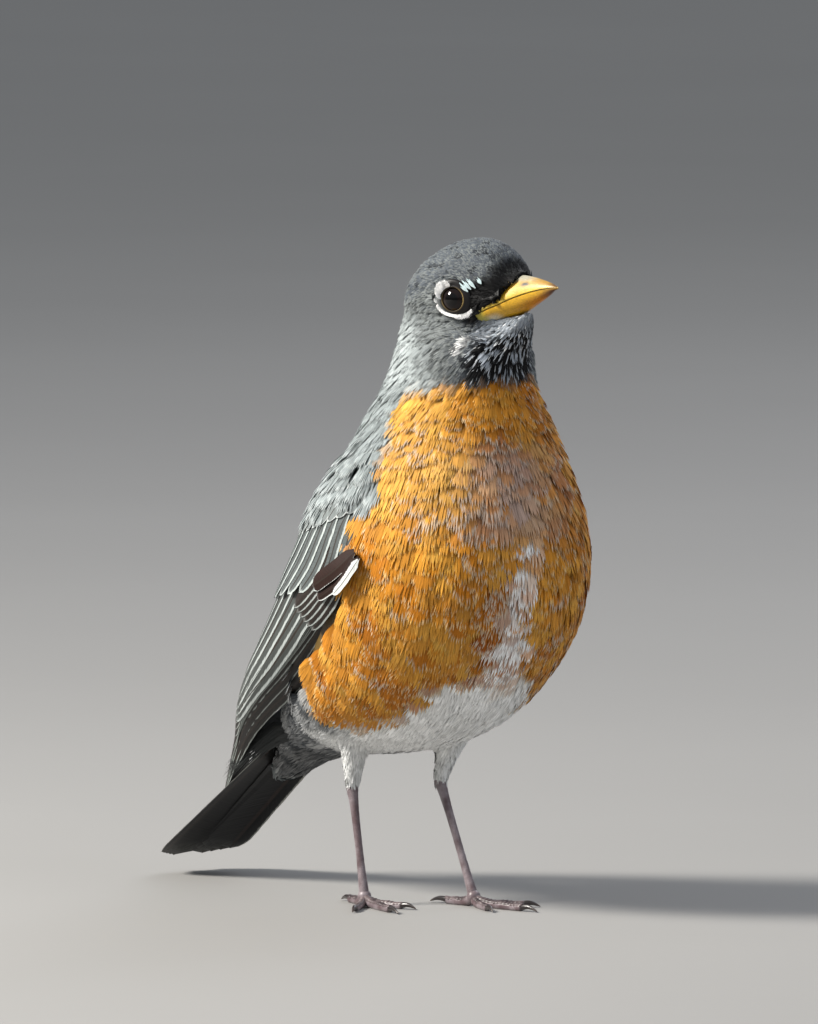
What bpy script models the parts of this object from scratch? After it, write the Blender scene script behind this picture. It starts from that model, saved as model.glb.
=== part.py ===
"""An American robin (Turdus migratorius), life size, standing upright on flat ground.

The bird faces -Y and its left side is +X. Metres, +Z up; the origin is the middle of the
underside of its bounding box, so the soles of its feet lie on z = 0. Every shape below is laid
out in millimetres as (left, ahead, up) from the point on the ground midway between the feet,
and moved to that origin at the end. The outlines are those of the plumage.
"""
import math

import bmesh
import bpy
from mathutils import Matrix, Vector

MM = 0.001
GAP = 0.3  # clearance between neighbouring pieces, in millimetres
SIDES = {"left": 1, "right": -1}

# The head's own frame: its middle, and how it is turned on the body, in degrees.
HEAD_MIDDLE = (0.0, 24.5, 164.0)
HEAD_TURN_LEFT = 5.0
HEAD_LIFT = 15.5
HEAD_LEAN_RIGHT = 4.0

EYE_RADIUS = 4.6
EYE_PLACE = (10.3, 7.0, 0.6)  # in the head's frame, for the left eye

# Tail: a closed fan, dropping backwards until its tip is just clear of the ground.
TAIL_ROOT = (0.0, -46.0, 48.0)
TAIL_TIP = (-2.5, -108.0, 2.9)
TAIL_ARCH = 2.0  # how far the outer feathers lie below the middle pair
TAIL_HALF_WIDTHS = (6.8, 13.2)  # at the root and at the tip
TAIL_THICKNESSES = (3.4, 1.2)

# Legs, for each side: the ankle and the place where the toes meet.
ANKLES = {"left": (10.0, -5.0, 33.0), "right": (-13.0, -12.5, 32.0)}
KNEES = {"left": (12.5, 3.0, 56.0), "right": (-14.0, -8.0, 55.0)}
TOE_MEETS = {"left": (12.0, 8.5, 2.6), "right": (-12.0, -8.0, 2.6)}
FOOT_TURNS_OUT = {"left": 14.0, "right": 10.0}

# The shin's radius at the ankle and how much it gains up to the knee; the tarsus's radii upwards.
SHIN_RADIUS = 2.0
SHIN_SWELLING = 7.0
TARSUS_RADII = (1.35, 1.1, 1.0, 1.0, 1.05, 1.25, 1.6)

# Toes: length without the claw, turn towards the middle of the body, base radius, claw length.
TOES = {
    "inner": (12.5, 30.0, 1.15, 4.6),
    "middle": (17.5, 0.0, 1.25, 5.4),
    "outer": (13.5, -33.0, 1.1, 4.4),
    "hind": (9.5, 180.0, 1.3, 6.2),
}

# Rings of the neck and trunk: the back edge and the front edge of each (ahead, up) and its
# half width, from inside the head down to the root of the tail.
TORSO_RINGS = (
    (8.0, 167.5, 32.0, 162.0, 12.0),
    (1.8, 157.5, 44.0, 154.5, 16.0),
    (0.0, 146.0, 43.5, 141.5, 18.4),
    (-5.5, 133.0, 47.0, 126.0, 25.3),
    (-14.0, 119.0, 52.5, 109.5, 32.0),
    (-22.0, 104.0, 55.0, 92.5, 35.8),
    (-28.0, 90.0, 50.0, 75.0, 36.0),
    (-33.0, 78.0, 34.5, 57.5, 33.5),
    (-38.0, 67.0, 15.5, 46.0, 29.5),
    (-45.0, 58.0, -7.0, 40.5, 22.5),
    (-53.0, 49.5, -30.0, 38.5, 15.5),
    (-61.5, 41.3, -49.0, 34.5, 9.5),
    (-70.0, 33.8, -64.0, 28.0, 4.5),
)

# Rings of the head in its own frame: how far ahead, the top, the bottom and the half width.
HEAD_RINGS = (
    (-18.8, 1.0, -5.0, 4.0),
    (-16.8, 6.2, -9.5, 9.0),
    (-12.5, 11.0, -14.0, 13.0),
    (-6.5, 14.1, -16.0, 15.3),
    (0.5, 15.7, -16.0, 15.6),
    (7.0, 15.7, -14.8, 14.0),
    (11.8, 14.5, -13.6, 11.6),
    (15.6, 12.4, -12.4, 9.5),
    (18.6, 9.8, -10.8, 7.9),
    (20.8, 6.6, -9.6, 6.4),
    (22.0, 3.2, -8.6, 4.6),
)

# Bill, in the head's frame: how far ahead, the ridge above, the line where the two halves
# meet, the ridge below, and the half width.
BILL_RINGS = (
    (12.0, 2.2, -5.9, -9.6, 9.4),
    (15.0, 2.4, -5.5, -9.6, 8.2),
    (18.5, 2.3, -5.0, -9.2, 6.2),
    (23.0, 1.5, -4.4, -8.7, 4.5),
    (28.0, -0.1, -4.2, -7.9, 3.1),
    (33.0, -2.1, -4.4, -6.8, 1.8),
    (36.5, -3.8, -4.8, -5.7, 0.8),
    (38.0, -4.9, -5.25, -5.55, 0.3),
)

# The left folded wing, from the shoulder to the tip: its lower edge, the crest of its outer
# face and its upper edge, each (left, ahead, up), then its thickness.
WING_ROWS = (
    (28.5, 27.0, 121.0, 27.5, 17.0, 127.0, 20.0, 6.0, 130.5, 4.0),
    (35.2, 19.0, 105.0, 33.5, 3.0, 111.0, 16.5, -12.5, 119.0, 5.5),
    (36.8, 18.0, 87.0, 35.5, -8.0, 94.0, 12.0, -26.5, 101.5, 5.5),
    (35.5, 3.0, 71.0, 34.0, -21.0, 77.0, 9.0, -39.5, 83.5, 4.5),
    (30.0, -15.0, 58.0, 29.5, -36.0, 62.5, 7.5, -51.0, 67.0, 3.5),
    (23.5, -38.0, 47.0, 22.5, -52.0, 51.0, 6.5, -64.0, 53.0, 2.6),
    (16.0, -60.0, 37.5, 15.0, -67.0, 41.0, 6.0, -74.0, 41.5, 1.9),
    (9.5, -79.0, 29.5, 8.6, -81.5, 30.5, 7.0, -83.0, 30.0, 1.2),
)
COVERTS_END = (31.5, -27.0, 72.0)  # on the left wing, where the tips of the coverts lie
SECONDARIES_END = (6.0, -70.0, 45.0)  # on its upper edge, where the inner feathers stop


def spot(left, ahead, up):
    """The point this many millimetres to the bird's left, ahead and up."""
    return Vector((left, -ahead, up)) * MM


def head_frame():
    """Turns points laid out in the head's own frame to where the head is."""
    turn = Matrix.Rotation(math.radians(HEAD_TURN_LEFT), 4, "Z")
    lift = Matrix.Rotation(math.radians(-HEAD_LIFT), 4, "X")
    lean = Matrix.Rotation(math.radians(-HEAD_LEAN_RIGHT), 4, "Y")
    return Matrix.Translation(spot(*HEAD_MIDDLE)) @ turn @ lift @ lean


def smooth_rows(rows, steps):
    """More rows between the given ones, on a curve that passes through them all."""
    made = []
    last = len(rows) - 1
    for index in range(last):
        before, after = rows[max(index - 1, 0)], rows[min(index + 2, last)]
        start, end = rows[index], rows[index + 1]
        for step in range(steps):
            t = step / steps
            made.append(
                [
                    0.5 * (2 * b + (c - a) * t + (2 * a - 5 * b + 4 * c - d) * t * t
                           + (3 * b - a - 3 * c + d) * t ** 3)
                    for a, b, c, d in zip(before, start, end, after)
                ]
            )
    made.append(list(rows[last]))
    return made


def material(name, colour, roughness):
    found = bpy.data.materials.get(name)
    if found:
        return found
    made = bpy.data.materials.new(name)
    made.use_nodes = True
    shader = made.node_tree.nodes["Principled BSDF"]
    shader.inputs["Base Color"].default_value = (*colour, 1.0)
    shader.inputs["Roughness"].default_value = roughness
    shader.inputs["Metallic"].default_value = 0.0
    return made


def plumage(name):
    colours = {
        "breast": (0.50, 0.16, 0.02),
        "crown": (0.03, 0.03, 0.035),
        "back": (0.13, 0.12, 0.12),
        "quill": (0.045, 0.04, 0.04),
        "belly": (0.55, 0.53, 0.50),
    }
    return material(f"plumage_{name}", colours[name], 0.85)


def horn(name):
    colours = {"bill": (0.72, 0.36, 0.03), "leg": (0.12, 0.07, 0.06), "claw": (0.02, 0.018, 0.016)}
    return material(f"horn_{name}", colours[name], 0.45)


def add(name, mesh, surface=None):
    """An object of this mesh. Without a surface it is a helper, which stays out of renders."""
    made = bpy.data.objects.new(name, mesh)
    bpy.context.scene.collection.objects.link(made)
    if surface is None:
        made.hide_render = True
        made.display_type = "WIRE"
        return made
    mesh.materials.clear()
    mesh.materials.append(surface)
    mesh.shade_smooth()
    mesh.set_sharp_from_angle(angle=math.radians(50))
    return made


def loft(name, rings):
    """A closed mesh through rings of points, with a flat cap on each end."""
    shape = bmesh.new()
    layers = [[shape.verts.new(point) for point in ring] for ring in rings]
    count = len(layers[0])
    for low, high in zip(layers, layers[1:]):
        for i in range(count):
            j = (i + 1) % count
            shape.faces.new((low[i], low[j], high[j], high[i]))
    shape.faces.new(layers[0])
    shape.faces.new(layers[-1])
    bmesh.ops.recalc_face_normals(shape, faces=shape.faces)
    bmesh.ops.triangulate(shape, faces=shape.faces)
    mesh = bpy.data.meshes.new(name)
    shape.to_mesh(mesh)
    shape.free()
    return mesh


def tube(name, path, radii, sides=8):
    """A round tube along a path of points, its radius given at each one, in millimetres."""
    rings = []
    across = None
    for index, point in enumerate(path):
        ahead = (path[min(index + 1, len(path) - 1)] - path[max(index - 1, 0)]).normalized()
        across = ahead.orthogonal() if across is None else across - ahead * across.dot(ahead)
        across.normalize()
        over = ahead.cross(across)
        turns = [2 * math.pi * k / sides for k in range(sides)]
        rings.append(
            [point + (across * math.cos(a) + over * math.sin(a)) * radii[index] * MM for a in turns]
        )
    return loft(name, rings)


def ball(name, middle, radius, segments=14):
    shape = bmesh.new()
    bmesh.ops.create_uvsphere(
        shape, u_segments=segments, v_segments=segments // 2 + 2, radius=radius * MM,
        matrix=Matrix.Translation(middle),
    )
    bmesh.ops.triangulate(shape, faces=shape.faces)
    mesh = bpy.data.meshes.new(name)
    shape.to_mesh(mesh)
    shape.free()
    return mesh


def use_boolean(obj, operation, other):
    step = obj.modifiers.new(f"{operation} {other.name}", "BOOLEAN")
    step.operation = operation
    step.solver = "EXACT"
    step.object = other


def swollen(obj, by=GAP):
    """A helper copy of the object, larger all round by this many millimetres."""
    made = add(f"{obj.name}_room", obj.data.copy())
    for step in obj.modifiers:
        use_boolean(made, step.operation, step.object)
    swell = made.modifiers.new("swell", "DISPLACE")
    swell.mid_level = 0.0
    swell.strength = by * MM
    return made


def half_space(name, point, towards):
    """A helper block that fills the side of a plane that this direction points to."""
    size = 0.6
    shape = bmesh.new()
    bmesh.ops.create_cube(shape, size=size)
    turn = towards.normalized().to_track_quat("Z", "Y").to_matrix().to_4x4()
    place = Matrix.Translation(point) @ turn @ Matrix.Translation((0, 0, size / 2))
    bmesh.ops.transform(shape, matrix=place, verts=shape.verts)
    mesh = bpy.data.meshes.new(name)
    shape.to_mesh(mesh)
    shape.free()
    return add(name, mesh)


def part_by_plane(name, point, towards):
    """The two half spaces on either side of a plane, with the usual clearance between them."""
    step = towards.normalized() * (GAP / 2 * MM)
    return (
        half_space(f"{name}_this_side", point - step, -towards),
        half_space(f"{name}_far_side", point + step, towards),
    )


def torso_mesh(around=24):
    """Neck and trunk: egg-shaped rings that fan round from level at the neck to upright."""
    rings = []
    for back_ahead, back_up, front_ahead, front_up, half_width in smooth_rows(TORSO_RINGS, 2):
        ring = []
        for k in range(around):
            angle = 2 * math.pi * k / around
            share = (1 - math.cos(angle)) / 2  # 0 at the back edge, 1 at the front
            ahead = back_ahead + (front_ahead - back_ahead) * share
            up = back_up + (front_up - back_up) * share
            side = math.sin(angle)
            ring.append(spot(half_width * math.copysign(abs(side) ** 0.92, side), ahead, up))
        rings.append(ring)
    return loft("torso", rings)


def head_mesh(around=22):
    rings = []
    for ahead, top, bottom, half_width in smooth_rows(HEAD_RINGS, 2):
        middle, half = (top + bottom) / 2, (top - bottom) / 2
        turns = [2 * math.pi * k / around for k in range(around)]
        rings.append(
            [
                spot(half_width * math.sin(a) * (1 + 0.14 * math.cos(a)), ahead,
                     middle + half * math.cos(a))
                for a in turns
            ]
        )
    mesh = loft("skull", rings)
    mesh.transform(head_frame())
    return mesh


def bill_mesh(name, upper, around=6):
    """One half of the bill: a ridge on its outer side and a flat face where the halves meet."""
    rings = []
    for ahead, above, line, below, half_width in smooth_rows(BILL_RINGS, 2):
        edge = line + GAP / 2 if upper else line - GAP / 2
        ridge = above if upper else below
        turns = [math.pi * (k / around - 0.5) for k in range(around + 1)]
        rings.append(
            [spot(half_width * math.sin(a), ahead, edge + (ridge - edge) * math.cos(a)) for a in turns]
        )
    mesh = loft(name, rings)
    mesh.transform(head_frame())
    return mesh


def make_head_neck_trunk():
    """One body, parted into head, neck and trunk by two thin cuts."""
    whole = add("body_whole", torso_mesh())
    use_boolean(whole, "UNION", add("skull_whole", head_mesh()))
    graph = bpy.context.evaluated_depsgraph_get()
    body = bpy.data.meshes.new_from_object(whole.evaluated_get(graph))
    below_head, above_neck = part_by_plane("nape", spot(0, 18, 150), spot(0, -7, 22))
    below_neck, above_trunk = part_by_plane("collar", spot(0, 20, 130), spot(0, -3, 20))
    head = add("head", body.copy(), plumage("crown"))
    use_boolean(head, "INTERSECT", above_neck)
    neck = add("neck", body.copy(), plumage("crown"))
    use_boolean(neck, "INTERSECT", below_head)
    use_boolean(neck, "INTERSECT", above_trunk)
    trunk = add("trunk", body.copy(), plumage("breast"))
    use_boolean(trunk, "INTERSECT", below_neck)
    return head, neck, trunk


def make_face(head):
    """The two halves of the bill and the eyes, each in its own room in the head."""
    for name, upper in (("bill_upper", True), ("bill_lower", False)):
        bill = add(name, bill_mesh(name, upper), horn("bill"))
        use_boolean(head, "DIFFERENCE", swollen(bill))
    left, ahead, up = EYE_PLACE
    dark = material("eye", (0.01, 0.006, 0.004), 0.1)
    for side, sign in SIDES.items():
        middle = head_frame() @ spot(sign * left, ahead, up)
        eye = add(f"eye_{side}", ball(f"eye_{side}", middle, EYE_RADIUS), dark)
        use_boolean(head, "DIFFERENCE", swollen(eye))


def wing_mesh(name, sign, across=8):
    """A folded wing as one curved plate: an outer face, and an inner face a thickness inside."""
    rows = smooth_rows(WING_ROWS, 2)
    shares = [k / across for k in range(across + 1)]
    outer = []
    for row in rows:
        low, crest, high = row[0:3], row[3:6], row[6:9]
        outer.append(
            [
                spot(*(a * (1 - v) * (1 - 2 * v) + b * 4 * v * (1 - v) + c * v * (2 * v - 1)
                       for a, b, c in zip(low, crest, high)))
                for v in shares
            ]
        )
    rings = []
    for i, row in enumerate(rows):
        ring, inner = outer[i], []
        for j in range(across + 1):
            along = outer[min(i + 1, len(rows) - 1)][j] - outer[max(i - 1, 0)][j]
            over = ring[min(j + 1, across)] - ring[max(j - 1, 0)]
            inward = over.cross(along).normalized()
            edge = math.sin(math.pi * (0.12 + 0.76 * j / across))
            inner.append(ring[j] + inward * row[9] * edge * MM)
        rings.append(ring + inner[::-1])
    mesh = loft(name, rings)
    if sign < 0:
        mesh.transform(Matrix.Scale(-1, 4, (1, 0, 0)))
        mesh.flip_normals()
    return mesh


def make_wing(side, neck, trunk):
    """A folded wing, parted into its coverts, its secondaries and its primaries."""
    sign = SIDES[side]
    whole = wing_mesh(f"wing_{side}", sign)
    shoulder, tip = WING_ROWS[0], WING_ROWS[-1]
    run = spot(sign * tip[3], tip[4], tip[5]) - spot(sign * shoulder[3], shoulder[4], shoulder[5])
    covert_tips = spot(sign * COVERTS_END[0], *COVERTS_END[1:])
    upper_end = spot(sign * SECONDARIES_END[0], *SECONDARIES_END[1:])
    near, far = part_by_plane(f"coverts_{side}", covert_tips, run)
    outwards = spot(sign * 1.0, -0.35, 0.2)
    split = (upper_end - covert_tips).cross(outwards) * sign
    lower, upper = part_by_plane(f"quills_{side}", upper_end, split)
    arm = add(f"wing_{side}", whole, plumage("back"))
    use_boolean(arm, "INTERSECT", near)
    for name, half in (("secondaries", upper), ("primaries", lower)):
        quills = add(f"{name}_{side}", whole.copy(), plumage("quill"))
        use_boolean(quills, "INTERSECT", far)
        use_boolean(quills, "INTERSECT", half)
    room = swollen(add(f"wing_{side}_whole", whole.copy()))
    use_boolean(neck, "DIFFERENCE", room)
    use_boolean(trunk, "DIFFERENCE", room)


def make_tail(trunk, across=8, along=8):
    """A closed fan, arched across, that widens and thins towards its tip."""
    root, tip = spot(*TAIL_ROOT), spot(*TAIL_TIP)
    over = (tip - root).cross(Vector((1, 0, 0))).normalized()
    if over.z < 0:
        over = -over
    rings = []
    for i in range(along + 1):
        share = i / along
        narrow, wide = TAIL_HALF_WIDTHS
        rounded_off = math.sqrt(1 - 0.5 * max(share - 0.8, 0) / 0.2)
        half_width = (narrow + (wide - narrow) * share ** 0.7) * rounded_off
        thick = TAIL_THICKNESSES[0] + (TAIL_THICKNESSES[1] - TAIL_THICKNESSES[0]) * share
        top, bottom = [], []
        for j in range(across + 1):
            v = 2 * j / across - 1
            middle = root.lerp(tip, share - 0.05 * share * v * v)
            line = middle + Vector((half_width * v * MM, 0, 0)) - over * TAIL_ARCH * v * v * MM
            half = over * thick / 2 * math.sqrt(1.06 - v * v * 0.9) * MM
            top.append(line + half)
            bottom.append(line - half)
        rings.append(top + bottom[::-1])
    tail = add("tail", loft("tail", rings), plumage("quill"))
    use_boolean(trunk, "DIFFERENCE", swollen(tail))


def toe_path(meets, length, heading, radius, pieces=5):
    """From the middle of the foot down to the ground, then flat along it."""
    points = []
    for k in range(pieces + 1):
        share = k / pieces
        drop = math.exp(-7 * share)
        height = radius * 0.72 + (meets.z / MM - radius * 0.72) * drop
        reach = heading * length * share * MM
        points.append(Vector((meets.x, meets.y, 0)) + reach + Vector((0, 0, height * MM)))
    return points


def claw_path(start, heading, length, pieces=5):
    """A claw that arches forward and down, its point just clear of the ground."""
    points = []
    for k in range(pieces + 1):
        share = k / pieces
        rise = 0.55 * math.sin(math.pi * share) - (start.z / MM - 0.28) * share ** 1.5
        points.append(start + heading * length * share * MM + Vector((0, 0, rise * MM)))
    return points


def make_leg(side, trunk):
    """Feathered shin, bare tarsus, and a foot of four toes, with a claw on each."""
    sign = SIDES[side]
    ankle, knee, meets = (spot(*table[side]) for table in (ANKLES, KNEES, TOE_MEETS))
    shares = [k / 6 for k in range(7)]
    shin_radii = [SHIN_RADIUS + SHIN_SWELLING * s ** 1.5 for s in shares]
    shin_path = [ankle.lerp(knee, s) for s in shares]
    shin = add(f"thigh_{side}", tube(f"thigh_{side}", shin_path, shin_radii, 14), plumage("belly"))
    use_boolean(shin, "DIFFERENCE", swollen(trunk))

    pieces = []
    ground = half_space(f"ground_{side}", Vector((0, 0, 0)), Vector((0, 0, 1)))
    for toe, (length, turn, radius, claw) in TOES.items():
        angle = math.radians(-sign * turn + sign * FOOT_TURNS_OUT[side])
        heading = Vector((math.sin(angle), -math.cos(angle), 0))
        path = toe_path(meets, length, heading, radius)
        radii = [radius * (1 - 0.25 * k / 5 - 0.06 * math.cos(math.pi * k)) for k in range(6)]
        pieces.append(add(f"toe_{side}_{toe}", tube(f"toe_{side}_{toe}", path, radii)))
        name = f"claw_{side}_{toe}"
        start = path[-1] + heading * GAP * MM
        claw_radii = [0.75, 0.7, 0.6, 0.48, 0.36, 0.25]
        add(name, tube(name, claw_path(start, heading, claw), claw_radii, 6), horn("claw"))
    foot = add(f"foot_{side}", ball(f"foot_{side}", meets, 1.9, 12), horn("leg"))
    for piece in pieces:
        use_boolean(foot, "UNION", piece)
    use_boolean(foot, "INTERSECT", ground)

    bottom = meets + (ankle - meets).normalized() * 1.2 * MM
    path = [bottom.lerp(ankle, s) for s in shares]
    tarsus = add(f"tarsus_{side}", tube(f"tarsus_{side}", path, TARSUS_RADII), horn("leg"))
    use_boolean(tarsus, "DIFFERENCE", swollen(foot))
    use_boolean(tarsus, "DIFFERENCE", swollen(shin))


def move_to_origin():
    """Puts the middle of the underside of the bird's bounding box at the origin."""
    graph = bpy.context.evaluated_depsgraph_get()
    points = []
    for obj in bpy.context.scene.objects:
        if not obj.hide_render:
            points += [Vector(corner) for corner in obj.evaluated_get(graph).bound_box]
    low = Vector([min(point[i] for point in points) for i in range(3)])
    high = Vector([max(point[i] for point in points) for i in range(3)])
    middle = Vector(((low.x + high.x) / 2, (low.y + high.y) / 2, low.z))
    for obj in bpy.context.scene.objects:
        obj.location -= middle


def main():
    for obj in list(bpy.data.objects):
        bpy.data.objects.remove(obj)
    head, neck, trunk = make_head_neck_trunk()
    make_face(head)
    for side in SIDES:
        make_wing(side, neck, trunk)
    make_tail(trunk)
    for side in SIDES:
        make_leg(side, trunk)
    move_to_origin()


main()
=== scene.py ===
"""The looks of a life-size American robin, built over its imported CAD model.

Every shape is in metres in the frame of that model. Places on the bird are given in
millimetres, either as (left, ahead, up) from the ground midway between its feet, or in the
same way from the middle of its head, along the head's own axes.
"""
import math

import bmesh
import bpy
import numpy as np
from mathutils import Matrix, Vector
from mathutils.bvhtree import BVHTree
from mathutils.kdtree import KDTree


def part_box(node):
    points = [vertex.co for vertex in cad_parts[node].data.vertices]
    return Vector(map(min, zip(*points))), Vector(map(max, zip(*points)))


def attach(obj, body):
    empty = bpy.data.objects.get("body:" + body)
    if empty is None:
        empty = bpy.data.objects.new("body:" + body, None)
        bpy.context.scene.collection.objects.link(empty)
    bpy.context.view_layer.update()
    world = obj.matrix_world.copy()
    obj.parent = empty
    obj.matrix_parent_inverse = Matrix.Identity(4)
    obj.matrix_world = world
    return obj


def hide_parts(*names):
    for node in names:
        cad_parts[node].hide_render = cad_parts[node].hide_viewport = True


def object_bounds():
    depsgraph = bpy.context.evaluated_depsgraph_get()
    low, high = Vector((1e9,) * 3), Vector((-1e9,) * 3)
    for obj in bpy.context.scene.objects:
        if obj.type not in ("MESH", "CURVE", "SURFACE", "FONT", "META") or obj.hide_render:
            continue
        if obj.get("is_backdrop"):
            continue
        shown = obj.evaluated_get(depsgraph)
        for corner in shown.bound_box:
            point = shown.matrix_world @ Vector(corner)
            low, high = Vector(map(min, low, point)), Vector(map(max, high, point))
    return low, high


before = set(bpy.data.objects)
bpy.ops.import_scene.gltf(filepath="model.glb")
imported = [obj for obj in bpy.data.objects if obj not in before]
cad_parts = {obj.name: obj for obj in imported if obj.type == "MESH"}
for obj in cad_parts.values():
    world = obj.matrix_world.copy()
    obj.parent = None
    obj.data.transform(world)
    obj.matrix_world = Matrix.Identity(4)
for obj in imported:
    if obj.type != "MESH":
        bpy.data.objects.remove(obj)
cad_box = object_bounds()
MM = 0.001


# ---------------------------------------------------------------------------------------------
# Where the bird stands. The eyes are the surest landmarks of the model, so the head's axes and
# the ground point between the feet are worked out from the middle of the two eyeballs.
# ---------------------------------------------------------------------------------------------
HEAD_MIDDLE = (0.0, 24.5, 164.0)
HEAD_TURN_LEFT, HEAD_LIFT, HEAD_LEAN_RIGHT = 5.0, 15.5, 4.0
EYE_PLACE = (10.3, 7.0, 0.6)  # of the left eye of the CAD model, in the head's frame


def laid_out(left, ahead, up):
    return Vector((left, -ahead, up)) * MM


def middle_of(node):
    low, high = (Vector(corner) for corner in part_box(node))
    return (low + high) / 2


head_turn = (
    Matrix.Rotation(math.radians(HEAD_TURN_LEFT), 4, "Z")
    @ Matrix.Rotation(math.radians(-HEAD_LIFT), 4, "X")
    @ Matrix.Rotation(math.radians(-HEAD_LEAN_RIGHT), 4, "Y")
)
between_eyes = (middle_of("eye_left") + middle_of("eye_right")) / 2
head_origin = between_eyes - head_turn @ laid_out(0, *EYE_PLACE[1:])
ground_point = head_origin - laid_out(*HEAD_MIDDLE)
head_to_world = Matrix.Translation(head_origin) @ head_turn
head_axes = np.array(head_turn.to_3x3())


def on_body(left, ahead, up):
    return ground_point + laid_out(left, ahead, up)


def on_head(left, ahead, up):
    return head_to_world @ laid_out(left, ahead, up)


def body_millimetres(points):
    """An array of world points as (left, ahead, up) from the ground point."""
    return (np.asarray(points) - np.array(ground_point)) / MM * (1, -1, 1)


def head_millimetres(points):
    """An array of world points as (left, ahead, up) from the middle of the head."""
    return (np.asarray(points) - np.array(head_origin)) @ head_axes / MM * (1, -1, 1)


def from_head(points):
    """World points of an array of (left, ahead, up) from the middle of the head."""
    return points * (MM, -MM, MM) @ head_axes.T + np.array(head_origin)


# ---------------------------------------------------------------------------------------------
# The studio: a pale matt floor without an edge, a camera with a long lens a few metres off to
# the bird's right, a large soft key light high on the same side, and a weak fill opposite.
# ---------------------------------------------------------------------------------------------
CAMERA_TURN, CAMERA_RISE = -33.0, 5.0  # degrees from straight ahead of the bird, above level
CAMERA_DISTANCE = 4.6
VIEW_HEIGHT = 273.1 * MM  # how much of the upright frame the long side takes in, at the bird
AIM_RIGHT, AIM_UP = -2.53 * MM, 105.1 * MM  # from the ground point to the middle of the view

turn, rise = math.radians(CAMERA_TURN), math.radians(CAMERA_RISE)
to_camera = Vector((math.sin(turn) * math.cos(rise), -math.cos(turn) * math.cos(rise), math.sin(rise)))
view_right = Vector((math.cos(turn), math.sin(turn), 0))
view_up = to_camera.cross(view_right)


def put_in_scene(name, data):
    made = bpy.data.objects.new(name, data)
    bpy.context.collection.objects.link(made)
    return made


camera_data = bpy.data.cameras.new("camera")
camera_data.sensor_width = 36.0
camera_data.lens = camera_data.sensor_width * CAMERA_DISTANCE / VIEW_HEIGHT
camera_data.clip_start, camera_data.clip_end = 0.1, 200.0
camera = put_in_scene("camera", camera_data)
aim = ground_point + view_right * AIM_RIGHT + view_up * AIM_UP
camera.location = aim + to_camera * CAMERA_DISTANCE
camera.rotation_euler = to_camera.to_track_quat("Z", "Y").to_euler()
bpy.context.scene.camera = camera
bpy.context.scene.view_settings.view_transform = "Standard"


def linear(colour):
    """The linear values of an sRGB hex colour, as an array."""
    parts = [int(colour[i:i + 2], 16) / 255 for i in (1, 3, 5)]
    return np.array([c / 12.92 if c <= 0.04045 else ((c + 0.055) / 1.055) ** 2.4 for c in parts])


def soft_light(name, towards, distance, size, power, colour):
    """A square area light that shines at the middle of the bird."""
    data = bpy.data.lights.new(name, "AREA")
    data.size, data.energy, data.color = size, power, linear(colour)
    light = put_in_scene(name, data)
    light.location = on_body(0, 5, 90) + towards.normalized() * distance
    light.rotation_euler = towards.to_track_quat("Z", "Y").to_euler()


above = Vector((0, 0, 1))
soft_light("key", to_camera * 0.24 - view_right + above * 0.80,
           distance=1.5, size=0.40, power=45.0, colour="#fffaf2")
soft_light("fill", to_camera * 0.8 + view_right * 0.9 + above * 0.45,
           distance=2.2, size=1.2, power=6.5, colour="#eaf1ff")
soft_light("back", -to_camera * 0.9 + view_right * 0.6 + above * 0.9,
           distance=2.0, size=1.0, power=10.0, colour="#f4f6ff")

sky = bpy.data.worlds.new("studio_walls")
sky.use_nodes = True
background = sky.node_tree.nodes["Background"]
background.inputs["Color"].default_value = (*linear("#e2e7ee"), 1)
bpy.context.scene.world = sky


def add_node(tree, kind, settings=None, **links):
    """A node of this kind. settings holds its own values; links sets or joins its inputs.

    An input is named as in Blender, with _ for a space, or numbered as in_0, in_1 and so on.
    """
    node = tree.nodes.new(kind)
    for key, value in (settings or {}).items():
        setattr(node, key, value)
    for key, value in links.items():
        socket = node.inputs[int(key[3:])] if key.startswith("in_") else node.inputs[key.replace("_", " ")]
        if isinstance(value, bpy.types.NodeSocket):
            tree.links.new(value, socket)
        elif isinstance(value, bpy.types.Node):
            tree.links.new(value.outputs[0], socket)
        else:
            socket.default_value = value
    return node


# The walls fade towards the floor, so that no edge shows where they meet.
towards = add_node(sky.node_tree, "ShaderNodeTexCoord")
apart = add_node(sky.node_tree, "ShaderNodeSeparateXYZ", Vector=towards.outputs["Generated"])
glow = add_node(sky.node_tree, "ShaderNodeMapRange", {"interpolation_type": "SMOOTHSTEP"},
                Value=apart.outputs["Z"], From_Min=0.0, From_Max=0.4, To_Min=0.18, To_Max=0.55)
sky.node_tree.links.new(glow.outputs[0], background.inputs["Strength"])


def new_material(name):
    """A material with only its output and a Principled shader, and its node tree."""
    made = bpy.data.materials.new(name)
    made.use_nodes = True
    return made, made.node_tree, made.node_tree.nodes["Principled BSDF"]


def finish(shader, colour, relief, **values):
    """Joins a colour and a relief to a shader and sets its other values, with _ for a space."""
    links = shader.id_data.links
    links.new(colour, shader.inputs["Base Color"])
    if relief:
        links.new(relief.outputs["Normal"], shader.inputs["Normal"])
    for name, value in values.items():
        shader.inputs[name.replace("_", " ")].default_value = value


# Painted studio floor: matt emulsion on board, an even pale grey with the faintest mottling.
# IOR 1.5, roughness near 0.85.
floor_paint, tree, shader = new_material("painted_floor")
place = add_node(tree, "ShaderNodeTexCoord")
mottle = add_node(tree, "ShaderNodeTexNoise", Vector=place.outputs["Object"], Scale=3.0, Detail=4.0)
tone = add_node(
    tree, "ShaderNodeMix", {"data_type": "RGBA"}, Factor=mottle,
    in_6=(*linear("#8f8e8c"), 1), in_7=(*linear("#969593"), 1),
)
finish(shader, tone.outputs[2], None, Roughness=0.85)

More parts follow.
